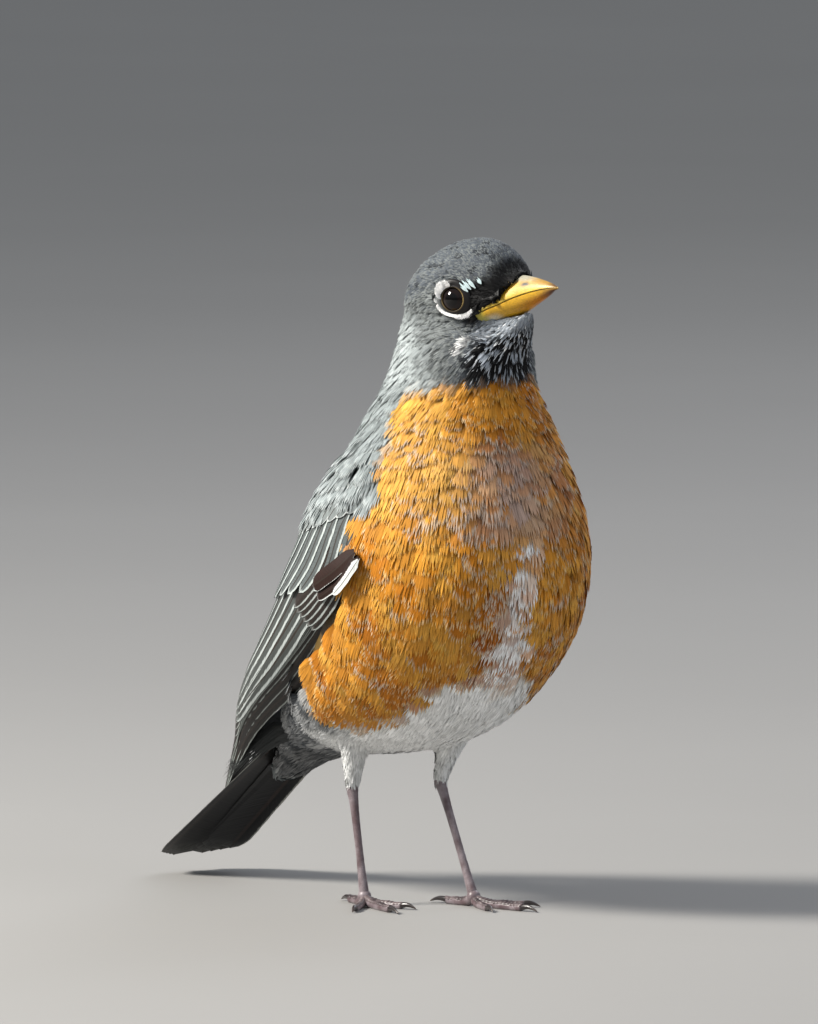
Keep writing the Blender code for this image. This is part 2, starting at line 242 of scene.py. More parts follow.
floor_mesh = bpy.data.meshes.new("floor")
reach = 70.0
floor_mesh.from_pydata([(-reach, -reach, 0), (reach, -reach, 0), (reach, reach, 0), (-reach, reach, 0)],
                       [], [(0, 1, 2, 3)])
floor_mesh.materials.append(floor_paint)
floor = put_in_scene("floor", floor_mesh)
floor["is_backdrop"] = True


# ---------------------------------------------------------------------------------------------
# The skin. Thin bare skin covers head, neck, trunk, shins and the fleshy arm of each wing in one
# piece. It lies inside the outline of the plumage by the depth of the coat and carries the
# same markings, darkened as painted shade, so that no gap between feathers shows pale.
# ---------------------------------------------------------------------------------------------
BODY_NODES = ("head", "neck", "trunk", "thigh_left", "thigh_right")
ARM_NODES = ("wing_left", "wing_right")
QUILL_NODES = ("secondaries_left", "secondaries_right", "primaries_left", "primaries_right")


def hang_on(name, mesh, material, slot, *nodes):
    """Makes a mesh a piece of the bird's one body, in place of these CAD nodes; slot is not used."""
    mesh.name = name
    if material:
        mesh.materials.append(material)
    piece = put_in_scene(name, mesh)
    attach(piece, "root")
    if nodes:
        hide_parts(*nodes)


def tree_of(nodes):
    """A search tree over the faces of these nodes."""
    points, faces = [], []
    for node in nodes:
        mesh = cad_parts[node].data
        first = len(points)
        points += [tuple(vertex.co) for vertex in mesh.vertices]
        faces += [[index + first for index in face.vertices] for face in mesh.polygons]
    return BVHTree.FromPolygons(points, faces)


trunk_tree = tree_of(("trunk", "neck"))


def finished_mesh(made):
    """The mesh that an object's modifiers leave, in place of the object."""
    mesh = bpy.data.meshes.new_from_object(made.evaluated_get(bpy.context.evaluated_depsgraph_get()))
    bpy.data.objects.remove(made)
    return mesh


def merged_body(nodes, voxel, lean_arms=1.0, swell=0.2 * MM, more=()):
    """One closed, smoothed mesh over these nodes and any more meshes, with the thin cuts
    between them filled. lean_arms is how much of the height of the wing arms is kept.
    """
    whole = bmesh.new()
    for mesh in more:
        whole.from_mesh(mesh)
    for node in nodes:
        part = bmesh.new()
        part.from_mesh(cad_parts[node].data)
        bmesh.ops.remove_doubles(part, verts=part.verts, dist=1e-6)
        part.normal_update()
        for vertex in part.verts:
            vertex.co += vertex.normal * swell
            if node in ARM_NODES:
                below = trunk_tree.find_nearest(vertex.co)[0]
                vertex.co = below.lerp(vertex.co, lean_arms)
        held = bpy.data.meshes.new("held")
        part.to_mesh(held)
        part.free()
        whole.from_mesh(held)
        bpy.data.meshes.remove(held)
    mesh = bpy.data.meshes.new("body")
    whole.to_mesh(mesh)
    whole.free()
    made = put_in_scene("body", mesh)
    remesh = made.modifiers.new("remesh", "REMESH")
    remesh.mode = "VOXEL"
    remesh.voxel_size = voxel
    smooth = made.modifiers.new("smooth", "SMOOTH")
    smooth.factor, smooth.iterations = 0.6, 9
    return finished_mesh(made)


def search_of(points):
    search = KDTree(len(points))
    for index, point in enumerate(points.tolist()):
        search.insert(point, index)
    search.balance()
    return search


def mesh_arrays(mesh):
    """The vertices, unit vertex normals and triangles of a mesh as arrays."""
    count = len(mesh.vertices)
    points, normals = np.empty(count * 3), np.empty(count * 3, np.float32)
    mesh.vertices.foreach_get("co", points)
    mesh.vertex_normals.foreach_get("vector", normals)
    mesh.calc_loop_triangles()
    corners = np.empty(len(mesh.loop_triangles) * 3, np.int32)
    mesh.loop_triangles.foreach_get("vertices", corners)
    return points.reshape(-1, 3), normals.reshape(-1, 3).astype(float), corners.reshape(-1, 3)


def unit(vectors):
    return vectors / np.maximum(np.linalg.norm(vectors, axis=-1, keepdims=True), 1e-12)


def ramp(values, low, high):
    """0 below low, 1 above high, and a smooth step between them."""
    share = np.clip((values - low) / (high - low), 0, 1)
    return share * share * (3 - 2 * share)


def triangle_mesh(points, triangles):
    mesh = bpy.data.meshes.new("shape")
    mesh.vertices.add(len(points))
    mesh.vertices.foreach_set("co", np.asarray(points, np.float32).ravel())
    mesh.loops.add(len(triangles) * 3)
    mesh.loops.foreach_set("vertex_index", np.asarray(triangles, np.int32).ravel())
    mesh.polygons.add(len(triangles))
    mesh.polygons.foreach_set("loop_start", np.arange(0, len(triangles) * 3, 3, dtype=np.int32))
    mesh.polygons.foreach_set("use_smooth", np.ones(len(triangles), bool))
    mesh.update(calc_edges=True)
    return mesh


def halves(a, b, c, d):
    """Two triangles for each of the quads with these corners."""
    return np.concatenate([np.stack(corners, -1).reshape(-1, 3) for corners in ((a, b, c), (a, c, d))])


def ring_faces(rows, around, capped=True):
    """The triangles between rings of points that follow each other, and where capped, from the
    first and the last ring to one more point each, which come after all the rings."""
    grid = np.arange(rows * around).reshape(rows, around)
    a, b = grid[:-1], np.roll(grid[:-1], -1, axis=1)
    d, c = grid[1:], np.roll(grid[1:], -1, axis=1)
    faces = [halves(a, b, c, d)]
    if capped:
        first, last, end = grid[0], grid[-1], np.full(around, rows * around)
        faces.append(np.stack([end, np.roll(first, -1), first], 1))
        faces.append(np.stack([end + 1, last, np.roll(last, -1)], 1))
    return np.concatenate(faces)


def facing_out(points, triangles):
    """These triangles of a closed mesh, turned over if they enclose a negative volume."""
    a, b, c = (points[triangles[:, k]] - points.mean(axis=0) for k in range(3))
    return triangles if (a * np.cross(b, c)).sum() > 0 else triangles[:, ::-1]


def through_rows(rows, at):
    """The values at any place between the rows of a table, on a smooth curve through them."""
    last = len(rows) - 1
    index = np.clip(np.floor(at).astype(int), 0, last - 1)
    t = (at - index)[..., None]
    a, b = rows[np.maximum(index - 1, 0)], rows[index]
    c, d = rows[index + 1], rows[np.minimum(index + 2, last)]
    bent = 2 * b + (c - a) * t + (2 * a - 5 * b + 4 * c - d) * t ** 2
    return 0.5 * (bent + (3 * b - a - 3 * c + d) * t ** 3)


# The bill, in the head's frame: ahead of the middle of the head, then the height of the upper
# ridge, of the meeting line and of the lower ridge, and the half width.
BILL_ROWS = np.array((
    (11.5, 2.0, -6.1, -9.4, 9.3), (15.0, 2.4, -5.5, -9.3, 8.0), (18.5, 2.3, -5.0, -8.9, 6.1),
    (23.0, 1.5, -4.4, -8.3, 4.4), (28.0, -0.1, -4.2, -7.4, 3.1), (32.6, -2.1, -4.4, -6.5, 1.9),
    (35.8, -3.8, -4.8, -5.6, 0.9), (37.4, -5.0, -5.3, -5.5, 0.25),
))
# How far ahead the feathers reach over each half of the bill, from its cutting edge (0) to
# its ridge (1).
FEATHERED_UPPER = ((0, 0.12, 0.30, 0.54, 0.93, 1), (14.6, 20.2, 23.2, 25.4, 26.0, 26.0))
FEATHERED_LOWER = ((0, 0.50, 0.80, 0.93, 1), (12.8, 13.6, 16.5, 22.5, 25.5))
IN_SKULL = 8.0  # where the root of the bill starts, inside the head


def bill_rows_at(ahead):
    """The values of the bill's table this far ahead of the middle of the head."""
    return through_rows(BILL_ROWS, np.interp(ahead, BILL_ROWS[:, 0], np.arange(len(BILL_ROWS))))


def feathered_bill_root(upper, swell=1.8, rows=16, around=25):
    """The root of one half of the bill, swollen to carry the feathers that hide it."""
    turn = np.linspace(-90, 90, around)[None]
    share = np.linspace(0, 1, rows)[:, None]
    height = np.abs(np.cos(np.radians(turn))) ** 1.2
    reach = np.interp(height, *(FEATHERED_UPPER if upper else FEATHERED_LOWER))
    ahead = IN_SKULL + (reach - IN_SKULL) * share
    row = bill_rows_at(ahead)
    line, ridge = row[..., 2], row[..., 1] if upper else row[..., 3]
    wide = row[..., 4] * np.sign(turn) * np.abs(np.sin(np.radians(turn))) ** 1.2
    high = (ridge - line) * height
    far = np.maximum(np.hypot(wide, high), 0.5)
    more = 1 + swell / far
    ring = np.stack([wide * more, ahead, line + high * more], -1)
    points = np.concatenate([ring.reshape(-1, 3), ring[:1].mean(axis=1), ring[-1:].mean(axis=1)])
    triangles = ring_faces(rows, around)
    return triangle_mesh(from_head(points), triangles[:, ::-1] if upper else triangles)


def on_bare_bill(points):
    """Whether each point lies past the feathers that reach over the root of the bill."""
    _, ahead, over = head_millimetres(points).T
    _, top, line, bottom, _ = bill_rows_at(ahead).T
    height = np.clip((over - line) / (top - line), 0, 1)
    depth = np.clip((line - over) / (line - bottom), 0, 1)
    reach = np.where(over > line, np.interp(height, *FEATHERED_UPPER), np.interp(depth, *FEATHERED_LOWER))
    return ahead > reach + 0.3


# Points of the full, feathered throat and chin under the bill, in the head's frame.
CHIN = (
    (5.8, 13.0, -8.4), (3.8, 19.0, -8.4), (1.6, 25.0, -8.2), (3.4, 21.5, -11.5), (6.4, 16.2, -13.0),
    (7.4, 12.5, -16.5), (4.2, 16.0, -19.0), (8.5, 8.0, -12.0), (4.0, 5.0, -12.0),
)

# The outline of the closed plumage, with the folded wings, that all feathers are laid along.
bill_roots = [feathered_bill_root(True), feathered_bill_root(False)]
chin = bmesh.new()
for side, ahead, over in CHIN:
    for sign in (-1, 1):
        chin.verts.new(on_head(sign * side, ahead, over))
bmesh.ops.convex_hull(chin, input=chin.verts)
chin_mesh = bpy.data.meshes.new("chin")
chin.to_mesh(chin_mesh)
chin.free()
bill_roots.append(chin_mesh)
shank_nodes = ("tarsus_left", "tarsus_right")
outline_nodes = BODY_NODES + ARM_NODES + QUILL_NODES + shank_nodes
outline = merged_body(outline_nodes, voxel=0.9 * MM, more=bill_roots)
outline_points, outline_normals, outline_faces = mesh_arrays(outline)
outline_tree = BVHTree.FromPolygons(outline_points.tolist(), outline_faces.tolist())
face_normals = unit(outline_normals[outline_faces].mean(axis=1))

# The middle line of the bird, (ahead, up) in millimetres, from the bill to the root of the tail.
MIDDLE_LINE = (
    (44, 165), (34, 166), (25, 164), (20, 156), (21, 144), (21, 130), (19, 114), (16, 98),
    (10, 82), (0, 68), (-12, 57), (-26, 49), (-41, 43), (-55, 38), (-67, 31), (-80, 24),
)
line_points = np.array([on_body(0, *place) for place in MIDDLE_LINE])
line_runs = unit(np.gradient(line_points, axis=0))


def line_shares(points, width=13.0 * MM):
    """How much each point of the middle line counts for each of these points."""
    apart = ((points[:, None] - line_points[None]) ** 2).sum(axis=2)
    apart -= apart.min(axis=1, keepdims=True)
    shares = np.exp(-apart / (2 * width * width))
    return shares / shares.sum(axis=1, keepdims=True)


BILL_ROOT = (0.0, 21.0, -4.0)  # in the head's frame; the feathers of the face spread from here
# The shins, each from where it leaves the body to the ankle.
SHINS = (((11.0, 1.0, 50.0), (10.0, -5.0, 33.0)), ((-15.0, -4.0, 50.0), (-13.0, -12.5, 32.0)))


def near_a_shin(points):
    """How surely each point is on a shin, 0 to 1, and the way down that shin."""
    best, way = np.zeros(len(points)), np.zeros((len(points), 3))
    for hip, ankle in SHINS:
        top, run = np.array(on_body(*hip)), np.array(on_body(*ankle) - on_body(*hip))
        along = ((points - top) @ run) / (run @ run)
        apart = np.linalg.norm(points - top - along[:, None] * run, axis=1)
        here = ramp(7.5 * MM - apart, 0, 2.0 * MM) * ramp(along, 0.05, 0.35)
        way = np.where((here > best)[:, None], unit(run), way)
        best = np.maximum(best, here)
    return best, way


def lie_of_feathers(points, normals):
    """The direction in which the feathers rooted at these points lie, along the surface."""
    run = line_shares(points) @ line_runs
    from_bill = points - np.array(on_head(*BILL_ROOT))
    far = np.linalg.norm(from_bill, axis=1, keepdims=True)
    guide = run + unit(from_bill) * 1.6 * np.exp(-((far / (17 * MM)) ** 2))
    shin, down_shin = near_a_shin(points)
    guide = guide * (1 - shin[:, None]) + down_shin * shin[:, None]
    guide = guide - normals * (guide * normals).sum(axis=1, keepdims=True)
    return unit(guide)


def turned_to_the_back(points):
    """How far round the body each point lies, in degrees: 90 on the back, -90 underneath."""
    shares = line_shares(points, 9.0 * MM)
    out = points - shares @ line_points
    backs = unit(np.cross((1.0, 0.0, 0.0), shares @ line_runs))
    return np.degrees(np.arctan2((out * backs).sum(axis=1), np.abs(out[:, 0])))


def coat_map_places(points):
    """Where points lie on an unwrap of the skin: round the middle line, and along it."""
    shares = line_shares(points, 9.0 * MM)
    along = shares @ np.arange(len(line_points)) / (len(line_points) - 1)
    middle, run = shares @ line_points, unit(shares @ line_runs)
    out = points - middle
    side = np.cross(run, (1.0, 0.0, 0.0))
    round_it = np.arctan2(out[:, 0], (out * unit(side)).sum(axis=1)) / (2 * np.pi)
    return np.stack([round_it % 1.0 * 0.98 + 0.01, along * 0.98 + 0.01], axis=1)


def noise_at(points, size, seed):
    """Smooth random values, about -1 to 1, that change over this distance in millimetres."""
    draw = np.random.default_rng(seed)
    total = np.zeros(len(points))
    for _ in range(7):
        wave = unit(draw.normal(size=3)) * 2 * np.pi / (size * draw.uniform(0.7, 1.6))
        total += np.sin(points @ wave + draw.uniform(0, 6.28))
    return total / 2.6


# Colours of the plumage. Carotenoid-free: the brick orange is phaeomelanin, the greys and
# black are eumelanin, and white is bare keratin. Some are also laid on as painted light: pale
# orange on the lit side of the breast, and deep orange, smoke grey and black as painted shade
# low on the breast and under the tail.
PLUMAGE = {
    "black": "#08080a", "slate": "#4b5056", "crown": "#50565d", "cheek": "#757a7a",
    "nape": "#b6bebf", "mantle": "#8a9293", "orange": "#cb8421", "deep orange": "#97500f",
    "pale orange": "#e3b454", "fringe": "#bba690", "mauve": "#b59c90", "white": "#f0f1f0",
    "shaded smoke": "#373c41", "chalk": "#e6e8e6", "silver": "#9da5ae",
}
pigment = {name: linear(colour) for name, colour in PLUMAGE.items()}


def blend_in(colours, name, amounts):
    """Mixes this much of a named colour into each of these colours."""
    return colours + (pigment[name] - colours) * np.clip(amounts, 0, 1)[:, None]


EYE_MIDDLE, EYE_RADIUS = (9.6, 7.4, -0.45), 4.5  # of the left eyeball, in the head's frame
eye_middles = [np.array(on_head(sign * EYE_MIDDLE[0], *EYE_MIDDLE[1:])) for sign in (1, -1)]


def markings(points, draw):
    """The colour of the feather rooted at each point, of its border, how far along the feather
    the border starts, and how much the border follows the sides rather than the tip."""
    count = len(points)
    body, head = body_millimetres(points), head_millimetres(points)
    left, ahead, up = body.T
    side, front, over = head.T
    side = np.abs(side)
    patchy = noise_at(body, size=9, seed=3)
    fine = draw.normal(size=count)

    # Mantle, rump and anything not claimed below: plain grey with slightly paler edges.
    edge = pigment["mantle"] * 0.5 + pigment["nape"] * 0.5
    layers = [np.tile(colour, (count, 1)) for colour in (pigment["mantle"], edge)]
    start, sides = np.full(count, 0.90), np.full(count, 0.1)

    def paint(name, inside=None, edge=None):
        """Mixes this much of a named colour into the middles and into the borders."""
        for layer, amounts in enumerate((inside, edge)):
            if amounts is not None:
                layers[layer] = blend_in(layers[layer], name, amounts)

    # Orange underparts, from the collar to the edge of the belly, with whitish borders.
    collar = np.interp(np.abs(left), (0, 12, 18, 23), (146.5, 146.0, 144.5, 141.0)) + 0.8 * patchy
    shoulder = ahead - np.interp(
        up, (50, 58, 66, 76, 86, 98, 108, 117, 125, 130, 136, 141, 145),
        (2, -4, -7, -14, -60, 14, 22, 23, 24.5, 26, 24, 23, 26),
    )
    hem = np.interp(ahead, (-20, -8, 3, 16, 30, 42), (62, 56.5, 52, 53, 60, 68)) + 1.5 * patchy
    back = ramp(turned_to_the_back(points), 12, 26)
    orange = ramp(collar - up, -1.5, 1.5) * ramp(shoulder, -1.5, 1.5)
    orange = orange * ramp(up - hem, -1.5, 2.5) * (1 - back)
    streak = np.interp(up, (58, 70, 90, 104, 118), (14, 6.5, 3.0, 2.0, 1.0)) + 1.0 * patchy
    wander = 1.0 + 1.6 * np.sin(up / 6.5)
    pale = ramp(streak - np.abs(left + wander), -2.0, 2.0) * ramp(up, 50, 58) * ramp(122 - up, 0, 14)
    paint("orange", orange)
    # Deeper orange low on the front of the breast is painted shade; the rest of the deep orange is the
    # feathers' own patchy tone.
    shaded_low_front = np.exp(-(((left + 8) / 15) ** 2)) * ramp(104 - up, 0, 24)
    paint("deep orange", orange * (0.25 + 0.60 * shaded_low_front + 0.20 * patchy + 0.12 * fine))
    paint("pale orange", orange * (0.10 - 0.26 * patchy + 0.14 * fine))
    frosted = np.exp(-(((left + 3) / 15) ** 2)) * ramp(up, 56, 72) * (1 - 0.8 * ramp(up, 128, 138))
    paint("pale orange", edge=orange)
    paint("fringe", edge=orange * np.clip(0.42 + 0.5 * frosted + 0.40 * patchy, 0, 1))
    start = start + orange * (0.03 - 0.06 * frosted - 0.05 * patchy + 0.03 * fine)
    veil = orange * np.exp(-(((left + 2) / 13) ** 2)) * ramp(up, 108, 114) * ramp(136 - up, 0, 8)
    paint("mauve", veil * (0.62 + 0.16 * fine), veil * 0.6)
    # Paler orange high on the bird's right side of the breast: painted light.
    painted_sunlit_side = orange * ramp(-left, 8, 18) * ramp(up, 108, 122)
    paint("pale orange", painted_sunlit_side * 0.45)
    paint("white", orange * pale * (0.60 + 0.25 * fine), orange * pale)

    # Belly, vent and the feathers under the tail: white, going smoky grey towards the tail, the
    # grey partly the feathers' own and partly painted shade, and black painted shade under the tail.
    flank = ramp(-shoulder, -1.5, 1.5) * ramp(84 - up, 0, 4)
    below = np.maximum(ramp(hem - up, -1.5, 1.5), flank) * (1 - back)
    under = below * ramp(ahead + 57 - 0.8 * np.maximum(up - 38, 0), -6, 4)
    paint("white", under * 0.85, under)
    # Dark smoky grey behind the legs: partly the feathers' own grey, partly painted shade.
    shaded_smoky = under * ramp(-ahead, -10, 4)
    paint("shaded smoke", shaded_smoky * (0.95 + 0.2 * fine), shaded_smoky * (0.80 + 0.1 * fine))
    start = start - 0.20 * under
    # Black under the tail near its middle: painted shade.
    dusky = 0.5 * under * ramp(-ahead, 18, 34) * ramp(14 - np.abs(left), -2, 4)
    paint("black", dusky, dusky)

    # Hood: slate crown and cheeks over black lores and forehead, paler towards the nape.
    hood = ramp(up - collar, -1.5, 1.5)
    behind = ramp(-front - 0.35 * over, -1, 13) * ramp(-over, -6, 6)
    paint("slate", hood * (1 - behind))
    paint("cheek", edge=hood * (1 - behind))
    cheek = hood * ramp(5.5 - over, -2, 4) * (1 - behind) * ramp(9 - front, -3, 5)
    paint("cheek", cheek * (0.72 + 0.22 * fine))
    crown = hood * ramp(over, 3, 8)
    paint("crown", crown * 0.9)
    paint("slate", edge=crown * 0.55)
    paint("cheek", edge=crown * (0.35 + 0.25 * patchy))
    from_eye = np.linalg.norm(np.stack([side, front, over], 1) - EYE_MIDDLE, axis=1)
    dark = (noise_at(body, size=4.5, seed=8) > 0.55) & (from_eye > 10)
    paint("black", hood * dark * (1 - behind) * 0.6)
    pale_neck = hood * behind
    paint("nape", pale_neck * 0.8)
    start = start + hood * (-0.12 + 0.08 * fine)

    # Throat: black feathers with silver to white sides; the chin above them is silver.
    reach = np.interp(up, (140, 150, 156, 166), (9.0, 8.5, 6.5, 4.5)) + 0.8 * patchy
    throat = hood * ramp(reach - np.abs(left + 0.5), -1.5, 1.5)
    throat = throat * ramp(-over, 6.8, 8.4) * ramp(ahead, 29, 33)
    paint("black", throat)
    paint("silver", edge=throat)
    paint("white", edge=throat * (0.25 + 0.35 * fine))
    chin = throat * ramp(over, -13.5, -9.5)
    paint("silver", chin * 0.9)
    low = throat * ramp(-over, 15, 27) * (0.5 + 0.3 * fine)
    paint("slate", edge=low)
    sides = sides + throat * 0.65
    start = start + throat * (-0.10 + 0.14 * fine + 0.12 * ramp(-over, 12, 26))

    # White mark: a short streak behind the corner of the gape.
    spot = np.stack([side, front, over], 1) - (13.0, 10.4, -12.2)
    down = unit(np.array((3.1, -3.0, -3.7)))
    off_line = np.linalg.norm(spot - (spot @ down)[:, None] * down, axis=1)
    malar = ramp(1.1 - off_line, -0.8, 0.8) * ramp(2.6 - np.abs(spot @ down), -0.8, 0.8)
    paint("white", malar * 0.7, malar * 0.9)

    # Lores and forehead: soot black round the root of the bill and to the front of the eye.
    lores = hood * ramp(front, 9.5, 12) * ramp(3.2 - over, 0, 2.5) * ramp(over, -9.5, -6.5)
    fore = hood * ramp(front - 0.4 * over, 17.5, 20.5) * ramp(over, -6.5, -4)
    paint("black", np.maximum(lores, fore), np.maximum(lores, fore * 0.9))

    # Feathered shins: chalky, with white tips.
    shin = ramp(55 - up, 0, 4) * ramp(ahead + 22, 0, 6) * ramp(np.abs(left), 3.5, 6.0) * ramp(up, 28, 30)
    shin = shin * ramp(49.0 - up - 0.12 * np.maximum(ahead, 0), -1.0, 1.5)
    paint("chalk", shin * (0.85 + 0.15 * fine))
    paint("white", edge=shin * 0.8)

    vary = np.exp(draw.normal(size=(count, 1)) * 0.06)
    middle, border = (np.clip(layer * vary, 0, 1) for layer in layers)
    return middle, border, start, np.clip(sides, 0, 0.95)


def coat_depth(points):
    """How far the skin lies under the outline, in millimetres: least on the face and legs."""
    left, ahead, up = body_millimetres(points).T
    front = head_millimetres(points)[:, 1]
    depth = np.interp(up, (28, 36, 46, 60, 100, 135, 150, 165), (0.5, 0.8, 1.8, 3.2, 3.4, 2.6, 2.1, 1.8))
    depth = depth - 0.6 * ramp(front, 2, 16) * ramp(up, 145, 155)
    depth = np.where(ahead < -40, np.minimum(depth, 1.5), depth)
    return np.where(np.abs(left) > 24, np.minimum(depth, 2.0), depth)


skin_mesh = merged_body(BODY_NODES + ARM_NODES, voxel=1.1 * MM, lean_arms=0.25)
skin_points, skin_normals, _ = mesh_arrays(skin_mesh)
arm_tree = tree_of(ARM_NODES)
skin_depths = coat_depth(skin_points)
under_wing = np.array([arm_tree.find_nearest(point)[3] < 3.6 * MM for point in skin_points.tolist()])
skin_mesh.vertices.foreach_set("co", (skin_points - skin_normals * skin_depths[:, None] * MM).ravel())
skin_mesh.shade_smooth()


def paint_points(mesh, name, colours, alpha=None):
    """Stores a colour for each vertex of the mesh."""
    layer = mesh.attributes.new(name, "FLOAT_COLOR", "POINT")
    values = np.ones((len(colours), 4), np.float32)
    values[:, :3] = colours
    if alpha is not None:
        values[:, 3] = alpha
    layer.data.foreach_set("color", values.ravel())


skin_colours, skin_borders, _, _ = markings(skin_points, np.random.default_rng(5))
# Painted shade: black on the skin low down under the wings, and the whole tint darkened to four fifths under
# the feathers.
skin_colours = blend_in(skin_colours, "mantle", under_wing)
skin_up = body_millimetres(skin_points)[:, 2]
skin_colours = blend_in(skin_colours, "black", under_wing * ramp(skin_up, 108, 96))
paint_points(skin_mesh, "tint", (skin_colours * 0.75 + skin_borders * 0.25) * 0.8)

# Bare skin: thin, matt and finely wrinkled, shadowed by the feathers above it. IOR 1.40,
# roughness about 0.6; wrinkles 0.6 mm apart.
bare_skin, tree, shader = new_material("bare_skin")
place = add_node(tree, "ShaderNodeTexCoord")
tint = add_node(tree, "ShaderNodeAttribute", {"attribute_name": "tint"})
wrinkles = add_node(tree, "ShaderNodeTexNoise", Vector=place.outputs["Object"], Scale=1600.0, Detail=3.0)
relief = add_node(tree, "ShaderNodeBump", Height=wrinkles, Strength=0.5, Distance=0.0002)
finish(shader, tint.outputs["Color"], relief, Roughness=0.6, IOR=1.40)

hang_on("skin", skin_mesh, bare_skin, "plumage_breast", *BODY_NODES, *ARM_NODES)


# ---------------------------------------------------------------------------------------------
# The coat. Contour feathers of keratin grow in overlapping rows all over the body, each a short
# shaft with a soft vane whose barbs part into locks. They are some 3 mm long on the face and
# 12 mm on the breast. Each is rooted in the skin and lies back along the one before.
# ---------------------------------------------------------------------------------------------
def feather_spacing(points):
    """How far apart feathers are rooted here, in millimetres."""
    left, ahead, up = body_millimetres(points).T
    front = head_millimetres(points)[:, 1]
    space = np.interp(up, (44, 52, 118, 136, 146, 156), (2.2, 2.6, 2.6, 1.9, 1.4, 1.15))
    space = space - 0.35 * ramp(front, 0, 12) * ramp(up, 150, 158)
    leg = ramp(49 - up, 0, 4) * ramp(np.abs(left), 4, 7) * ramp(ahead + 24, 0, 5)
    return space + (1.15 - space) * leg


wing_tree = tree_of(ARM_NODES + QUILL_NODES)


def scattered_roots(seed, candidates, on_wings=False):
    """Evenly scattered places on the outline, and its normals there, off the eyes and bill, and
    either only on the wings or only off them."""
    draw = np.random.default_rng(seed)
    corners = outline_points[outline_faces]
    areas = np.linalg.norm(np.cross(corners[:, 1] - corners[:, 0], corners[:, 2] - corners[:, 0]), axis=1)
    centres = corners.mean(axis=1)
    weight = areas / feather_spacing(centres) ** 2
    face = draw.choice(len(areas), candidates, p=weight / weight.sum())
    a, b = draw.random((2, candidates, 1))
    flip = a + b > 1
    a, b = np.where(flip, 1 - a, a), np.where(flip, 1 - b, b)
    points = corners[face, 0] * (1 - a - b) + corners[face, 1] * a + corners[face, 2] * b
    normals = outline_normals[outline_faces[face]]
    normals = unit(normals[:, 0] * (1 - a - b) + normals[:, 1] * a + normals[:, 2] * b)
    bill = tree_of(("bill_upper", "bill_lower"))
    tail = tree_of(("tail",) + shank_nodes)
    spaces = feather_spacing(points) * MM
    search = search_of(points)
    taken = np.zeros(candidates, bool)
    kept = []
    bare = on_bare_bill(points)
    for index, point in enumerate(points.tolist()):
        if taken[index]:
            continue
        for _, other, _ in search.find_range(point, spaces[index]):
            taken[other] = True
        near_eye = min(np.linalg.norm(eye - points[index]) for eye in eye_middles)
        on_a_wing = wing_tree.find_nearest(point)[3] < 0.9 * MM
        if near_eye < (EYE_RADIUS + 0.8) * MM or on_a_wing != on_wings:
            continue
        on_bill = bare[index] and bill.find_nearest(point)[3] < 1.0 * MM
        if on_bill or tail.find_nearest(point)[3] < 0.8 * MM:
            continue
        kept.append(index)
    return points[kept], normals[kept]


def on_outline(points):
    """The nearest places on the outline of the plumage, and its normals there."""
    places, normals = np.empty_like(points), np.empty_like(points)
    for index, point in enumerate(points.tolist()):
        place, _, face, _ = outline_tree.find_nearest(point)
        places[index], normals[index] = place, face_normals[face]
    return places, normals


def round_the_eyes(points, lie):
    """Turns the lie of the feathers that point at an eye so that they pass round it."""
    for eye in eye_middles:
        out = points - eye
        far = np.linalg.norm(out, axis=1, keepdims=True)
        out = out / far
        towards = np.minimum((lie * out).sum(axis=1, keepdims=True), 0)
        lie = lie - out * towards * 1.1 * (1 - ramp(far, 7 * MM, 10 * MM))
    return unit(lie)


def facing_out_by_the_eyes(points, normals):
    """These normals, turned to face out of the head close to an eye, where feathers lie flat."""
    for eye in eye_middles:
        far = np.linalg.norm(points - eye, axis=1, keepdims=True)
        outwards = unit(eye - np.array(on_head(0, 5.0, -2.0)))
        normals = normals + outwards * 2.5 * (1 - ramp(far, 6.5 * MM, 9.5 * MM))
    return unit(normals)


def laid_paths(roots, normals, lengths, wander, draw):
    """Where each feather runs: its root, middle and tip on the outline, with the normals."""
    lie = round_the_eyes(roots, lie_of_feathers(roots, normals))
    angle = draw.normal(size=(len(roots), 1)) * wander
    lie = lie * np.cos(angle) + np.cross(normals, lie) * np.sin(angle)
    step = lengths[:, None] / 2
    middles, middle_normals = on_outline(roots + lie * step)
    later = round_the_eyes(middles, lie_of_feathers(middles, middle_normals))
    lie = unit(middles - roots) * 0.6 + later * 0.4
    lie = unit(lie - middle_normals * (lie * middle_normals).sum(axis=1, keepdims=True))
    tips, tip_normals = on_outline(middles + lie * step)
    paths = (roots, middles, tips)
    facing = (normals, middle_normals, tip_normals)
    return paths, tuple(facing_out_by_the_eyes(spots, out) for spots, out in zip(paths, facing))


def curve_through(three, share):
    """The values at these shares of the way along smooth curves through three values each."""
    start, middle, end = (value[:, None, None, :] for value in three)
    t = share[..., None]
    return start * 2 * (t - 0.5) * (t - 1) - middle * 4 * t * (t - 1) + end * 2 * t * (t - 0.5)


